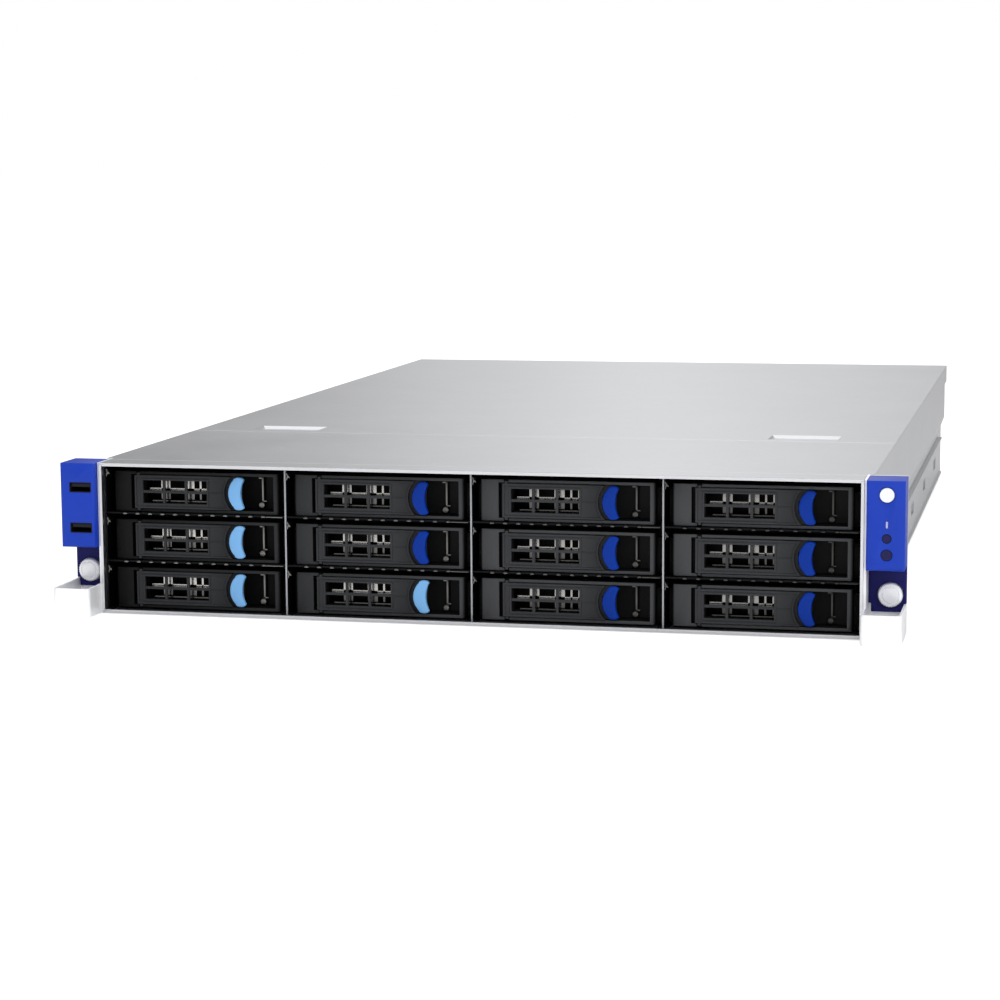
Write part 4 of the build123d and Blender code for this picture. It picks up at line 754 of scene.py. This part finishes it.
# %% Screws and light pipe
def turned(name, profile, sides, ridge=0.0):
    """A mesh turned about Y from radius and depth pairs, with ridges round its widest part."""
    whole = bmesh.new()
    widest = max(radius for radius, depth in profile)
    rings = []
    for radius, depth in profile:
        ring = []
        for step, (x, z) in enumerate(ring_points(1.0, sides)):
            reach = radius - (ridge if step % 2 and radius == widest else 0.0)
            ring.append(whole.verts.new((x * reach * MM, depth * MM, z * reach * MM)))
        rings.append(ring)
    for near, far in zip(rings, rings[1:]):
        for step in range(sides):
            after = (step + 1) % sides
            whole.faces.new((near[step], near[after], far[after], far[step]))
    whole.faces.new(rings[0])
    whole.faces.new(rings[-1])
    bmesh.ops.recalc_face_normals(whole, faces=whole.faces)
    made = bpy.data.meshes.new(name)
    whole.to_mesh(made)
    whole.free()
    return made


screw_mesh = turned("thumb_screw", [
    (2.2, 14.7), (4.1, 14.85), (4.4, 15.25), (4.8, 15.3), (5.1, 14.95), (6.1, 15.15), (6.8, 15.9),
    (6.8, 19.2), (6.3, 19.7), (2.3, 19.7), (2.3, 21.8), (3.0, 21.8), (3.0, 30.6), (2.6, 31.0),
], sides=60, ridge=0.35)
for side, sign in (("left", -1), ("right", 1)):
    piece(f"thumb_screw_{side}", screw_mesh, zinc_plated_steel, f"thumbscrew_{side}",
          (sign * SCREW_X * MM, FRONT * MM, SCREW_Z * MM), [f"thumbscrew_{side}"])
light_pipe = flat_mesh("light_pipe", [rectangle(-0.65, 0.65, -1.9, 1.9)], 0.3, 2.0, 0.2)
pipe_place = (231.6 * MM, (FRONT - 3.6) * MM, 63.6 * MM)
piece("light_pipe", light_pipe, pipe_acrylic, "chassis", pipe_place)

# %% [markdown]
# ## Rear ports and inlets
# On the rear only the mouths tell what a port is: a bright shell round a black hole. A thin frame
# with the right openings, set just proud of each block, is enough at any distance, because the
# network jacks behind it are hollow in CAD already. Each mains inlet gets a black lining.

# %% Port shells and inlet linings
# Near and far depth of every shell, and how far its rims are rounded.
SHELL = (750.5, 750.95, 0.1)
# USB pairs, network jacks and the video port, each measured from the board they stand on.
shells = [flat_mesh("shell", [
    rectangle(left, left + 14.5, BOARD_TOP, BOARD_TOP + 15.6),
    rectangle(left + 0.9, left + 13.6, BOARD_TOP + 1.0, BOARD_TOP + 6.8),
    rectangle(left + 0.9, left + 13.6, BOARD_TOP + 8.8, BOARD_TOP + 14.6),
], *SHELL) for left in (-108.0, -89.5)]
shells += [flat_mesh("shell", [
    rectangle(left, left + 16.0, BOARD_TOP, BOARD_TOP + 13.4),
    rectangle(left + 2.1, left + 13.9, BOARD_TOP + 2.6, BOARD_TOP + 10.6),
], *SHELL) for left in (-71.0, -51.0, -31.0)]
video_foot, video_head = BOARD_TOP + 2.6, BOARD_TOP + 9.9
shells.append(flat_mesh("shell", [
    rectangle(-11.0, 20.0, BOARD_TOP, BOARD_TOP + 12.5),
    [(-4.0, video_foot), (13.0, video_foot), (14.0, video_head), (-5.0, video_head)],
    ring_points(1.7, 12, -8.0, BOARD_TOP + 6.2), ring_points(1.7, 12, 17.0, BOARD_TOP + 6.2),
], *SHELL))
piece("port_shells", joined("port_shells", shells), zinc_plated_steel, "chassis", AT_FRONT)
inlet_sides = flat_mesh("inlet_lining", [
    rectangle(-12.2, 12.2, -8.7, 8.7), rectangle(-11.2, 11.2, -7.7, 7.7),
], 735.05, 750.2, 0.15)
inlet_floor = flat_mesh("inlet_floor", [rectangle(-11.6, 11.6, -8.1, 8.1)], 735.03, 735.6)
inlet_mesh = joined("inlet_lining", [inlet_sides, inlet_floor])
INLET_X, INLET_ABOVE_FOOT = -157.5, 19.75
for number, supply_foot in ((1, 1.5), (2, 42.7)):
    piece(f"inlet_lining_{number}", inlet_mesh, black_nylon, f"power_supply_{number}",
          (INLET_X * MM, FRONT * MM, (supply_foot + INLET_ABOVE_FOOT) * MM))
print("rear ports framed")

# %% [markdown]
# ## Camera
# The photograph was taken with a long lens from the right and slightly above: lines to the rear
# shrink only a little. A perspective camera with a 92 mm lens on a 36 mm frame, 1.42 m away,
# repeats it. The place came from matching the case's corners to the picture, which also showed
# that the photographer held the camera a third of a degree askew.

# %% Camera
SPIN, RISE, TILT = math.radians(12.9), math.radians(7.73), math.radians(-0.36)
AWAY = 1.422
AIM = Vector((0.018, FRONT * MM, 0.0716))
back = Vector((math.sin(SPIN) * math.cos(RISE), -math.cos(SPIN) * math.cos(RISE), math.sin(RISE)))
lens = bpy.data.cameras.new("camera")
lens.lens = 92.1
lens.sensor_width = 36.0
lens.clip_start = 0.05
camera = bpy.data.objects.new("camera", lens)
camera.location = AIM + back * AWAY
camera.rotation_mode = "QUATERNION"
camera.rotation_quaternion = (-back).to_track_quat("-Z", "Y") @ Quaternion((0, 0, 1), TILT)
bpy.context.scene.collection.objects.link(camera)
bpy.context.scene.camera = camera
print("camera at", [round(v, 3) for v in camera.location])

# %% [markdown]
# ## Studio
# The picture has a white ground and no hard shadow: a product tent. The floor is a pale plane and
# the tent is the world. Metal shows whatever surrounds it, and in the picture the lid is grey at
# the left, nearly white past the middle and greyer again at the right, so the tent's rear wall is
# lit in one broad patch and its front is dimmer. Two broad lamps add a soft direction.

# %% Floor, world and lamps
# How bright the paper glows to the lens, and the tent to a reflection of its front, to matt
# surfaces and to the lens.
PAPER_GLOW, FRONT_GLOW, MATT_GLOW, LENS_GLOW = 0.66, 0.5, 0.7, 1.0
REACH = 30.0
floor_mesh = bpy.data.meshes.new("floor")
floor_mesh.from_pydata(
    [(-REACH, -REACH, 0), (REACH, -REACH, 0), (REACH, REACH, 0), (-REACH, REACH, 0)],
    [], [(0, 1, 2, 3)])
floor = bpy.data.objects.new("floor", floor_mesh)
# A hair below the case, so that the two faces never share a plane.
floor.location.z = -0.5 * MM
bpy.context.scene.collection.objects.link(floor)
paper, tree, shader = new_material("matt_paper_floor", Roughness=0.9)
place = add_node(tree, "ShaderNodeTexCoord").outputs["Object"]
fibre = add_node(tree, "ShaderNodeTexNoise", {"Vector": place, "Scale": 1000 / 3})
tone = add_node(tree, "ShaderNodeMix",
                {0: fibre.outputs["Fac"], 6: linear("#F4F4F4"), 7: linear("#FAFAFA")},
                data_type="RGBA")
tree.links.new(tone.outputs[2], shader.inputs["Base Color"])
# Paper in a lit tent glows a little to the lens, but that glow adds no light to the object.
ray = add_node(tree, "ShaderNodeLightPath")
seen = add_node(tree, "ShaderNodeMath", {0: ray.outputs["Is Camera Ray"], 1: PAPER_GLOW},
                operation="MULTIPLY")
tree.links.new(seen.outputs[0], shader.inputs["Emission Strength"])
shader.inputs["Emission Color"].default_value = linear("#FFFFFF")
# Beside and behind the case the sheet is grey, so that the side walls read darker than the lid.
shade_along(paper, "Y", FRONT - 10, FRONT, 1.0, 0.53)
floor_mesh.materials.append(paper)
floor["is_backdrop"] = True

world = bpy.data.worlds.new("tent")
world.use_nodes = True
bpy.context.scene.world = world
tree = world.node_tree
tree.nodes.clear()
ray = add_node(tree, "ShaderNodeLightPath")
way = add_node(tree, "ShaderNodeTexCoord").outputs["Generated"]
# Left to right along the rear wall, as the sideways slope of a ray, and its brightness there.
REAR_WALL = (
    (-0.7, 0.22), (-0.42, 0.24), (-0.33, 0.4), (-0.23, 0.76),
    (-0.17, 1.0), (-0.1, 0.8), (-0.03, 0.56), (0.5, 0.42),
)
parts = add_node(tree, "ShaderNodeSeparateXYZ", {0: way}).outputs
rearward = add_node(tree, "ShaderNodeMath", {0: parts["Y"], 1: 0.02}, operation="MAXIMUM")
slope = add_node(tree, "ShaderNodeMath", {0: parts["X"], 1: rearward.outputs[0]},
                 operation="DIVIDE")
along = add_node(tree, "ShaderNodeMapRange",
                 {"Value": slope.outputs[0], "From Min": -1.0, "From Max": 1.0})
wall = add_node(tree, "ShaderNodeValToRGB", {"Fac": along.outputs[0]})
wall.color_ramp.interpolation = "EASE"
for number, (sideways, bright) in enumerate(REAR_WALL):
    spot = (sideways + 1) / 2
    # A new ramp has two stops already.
    stop = wall.color_ramp.elements[number] if number < 2 else wall.color_ramp.elements.new(spot)
    stop.position = spot
    stop.color = (bright, bright, bright, 1.0)
facing = add_node(tree, "ShaderNodeMapRange",
                  {"Value": parts["Y"], "From Min": -0.1, "From Max": 0.3})
tent = add_node(tree, "ShaderNodeMix", {0: facing.outputs[0], 2: FRONT_GLOW, 3: wall.outputs[0]})
mirrored = add_node(tree, "ShaderNodeMath",
                    {0: ray.outputs["Is Glossy Ray"], 1: ray.outputs["Is Transmission Ray"]},
                    operation="MAXIMUM")
soft = add_node(tree, "ShaderNodeMix", {0: mirrored.outputs[0], 2: MATT_GLOW, 3: tent.outputs[0]})
glow = add_node(tree, "ShaderNodeMix",
                {0: ray.outputs["Is Camera Ray"], 2: soft.outputs[0], 3: LENS_GLOW})
sky = add_node(tree, "ShaderNodeBackground",
               {"Color": linear("#FFFFFF"), "Strength": glow.outputs[0]})
add_node(tree, "ShaderNodeOutputWorld", {"Surface": sky.outputs[0]})


def soft_lamp(name, place, aim, size, watts, mirrored=True):
    """A square area lamp that looks at a point, and that shows in reflections or not."""
    light = bpy.data.lights.new(name, "AREA")
    light.size = size
    light.energy = watts
    lamp = bpy.data.objects.new(name, light)
    lamp.visible_glossy = mirrored
    lamp.location = place
    lamp.rotation_mode = "QUATERNION"
    lamp.rotation_quaternion = (Vector(aim) - Vector(place)).to_track_quat("-Z", "Y")
    bpy.context.scene.collection.objects.link(lamp)
    return lamp


# The key lamp stands outside the tent: its cloth spreads the light and hides the lamp from the lid.
soft_lamp("key_lamp", (1.2, -1.7, 1.9), (0.05, -0.3, 0), 4.0, 72, mirrored=False)
soft_lamp("top_lamp", (-0.3, 0.4, 2.6), (0, 0, 0), 3.4, 34)
bpy.context.scene.view_settings.view_transform = "Standard"

# %% Visual size
low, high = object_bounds()
print("visual box in metres", [round(v, 4) for v in low], [round(v, 4) for v in high])
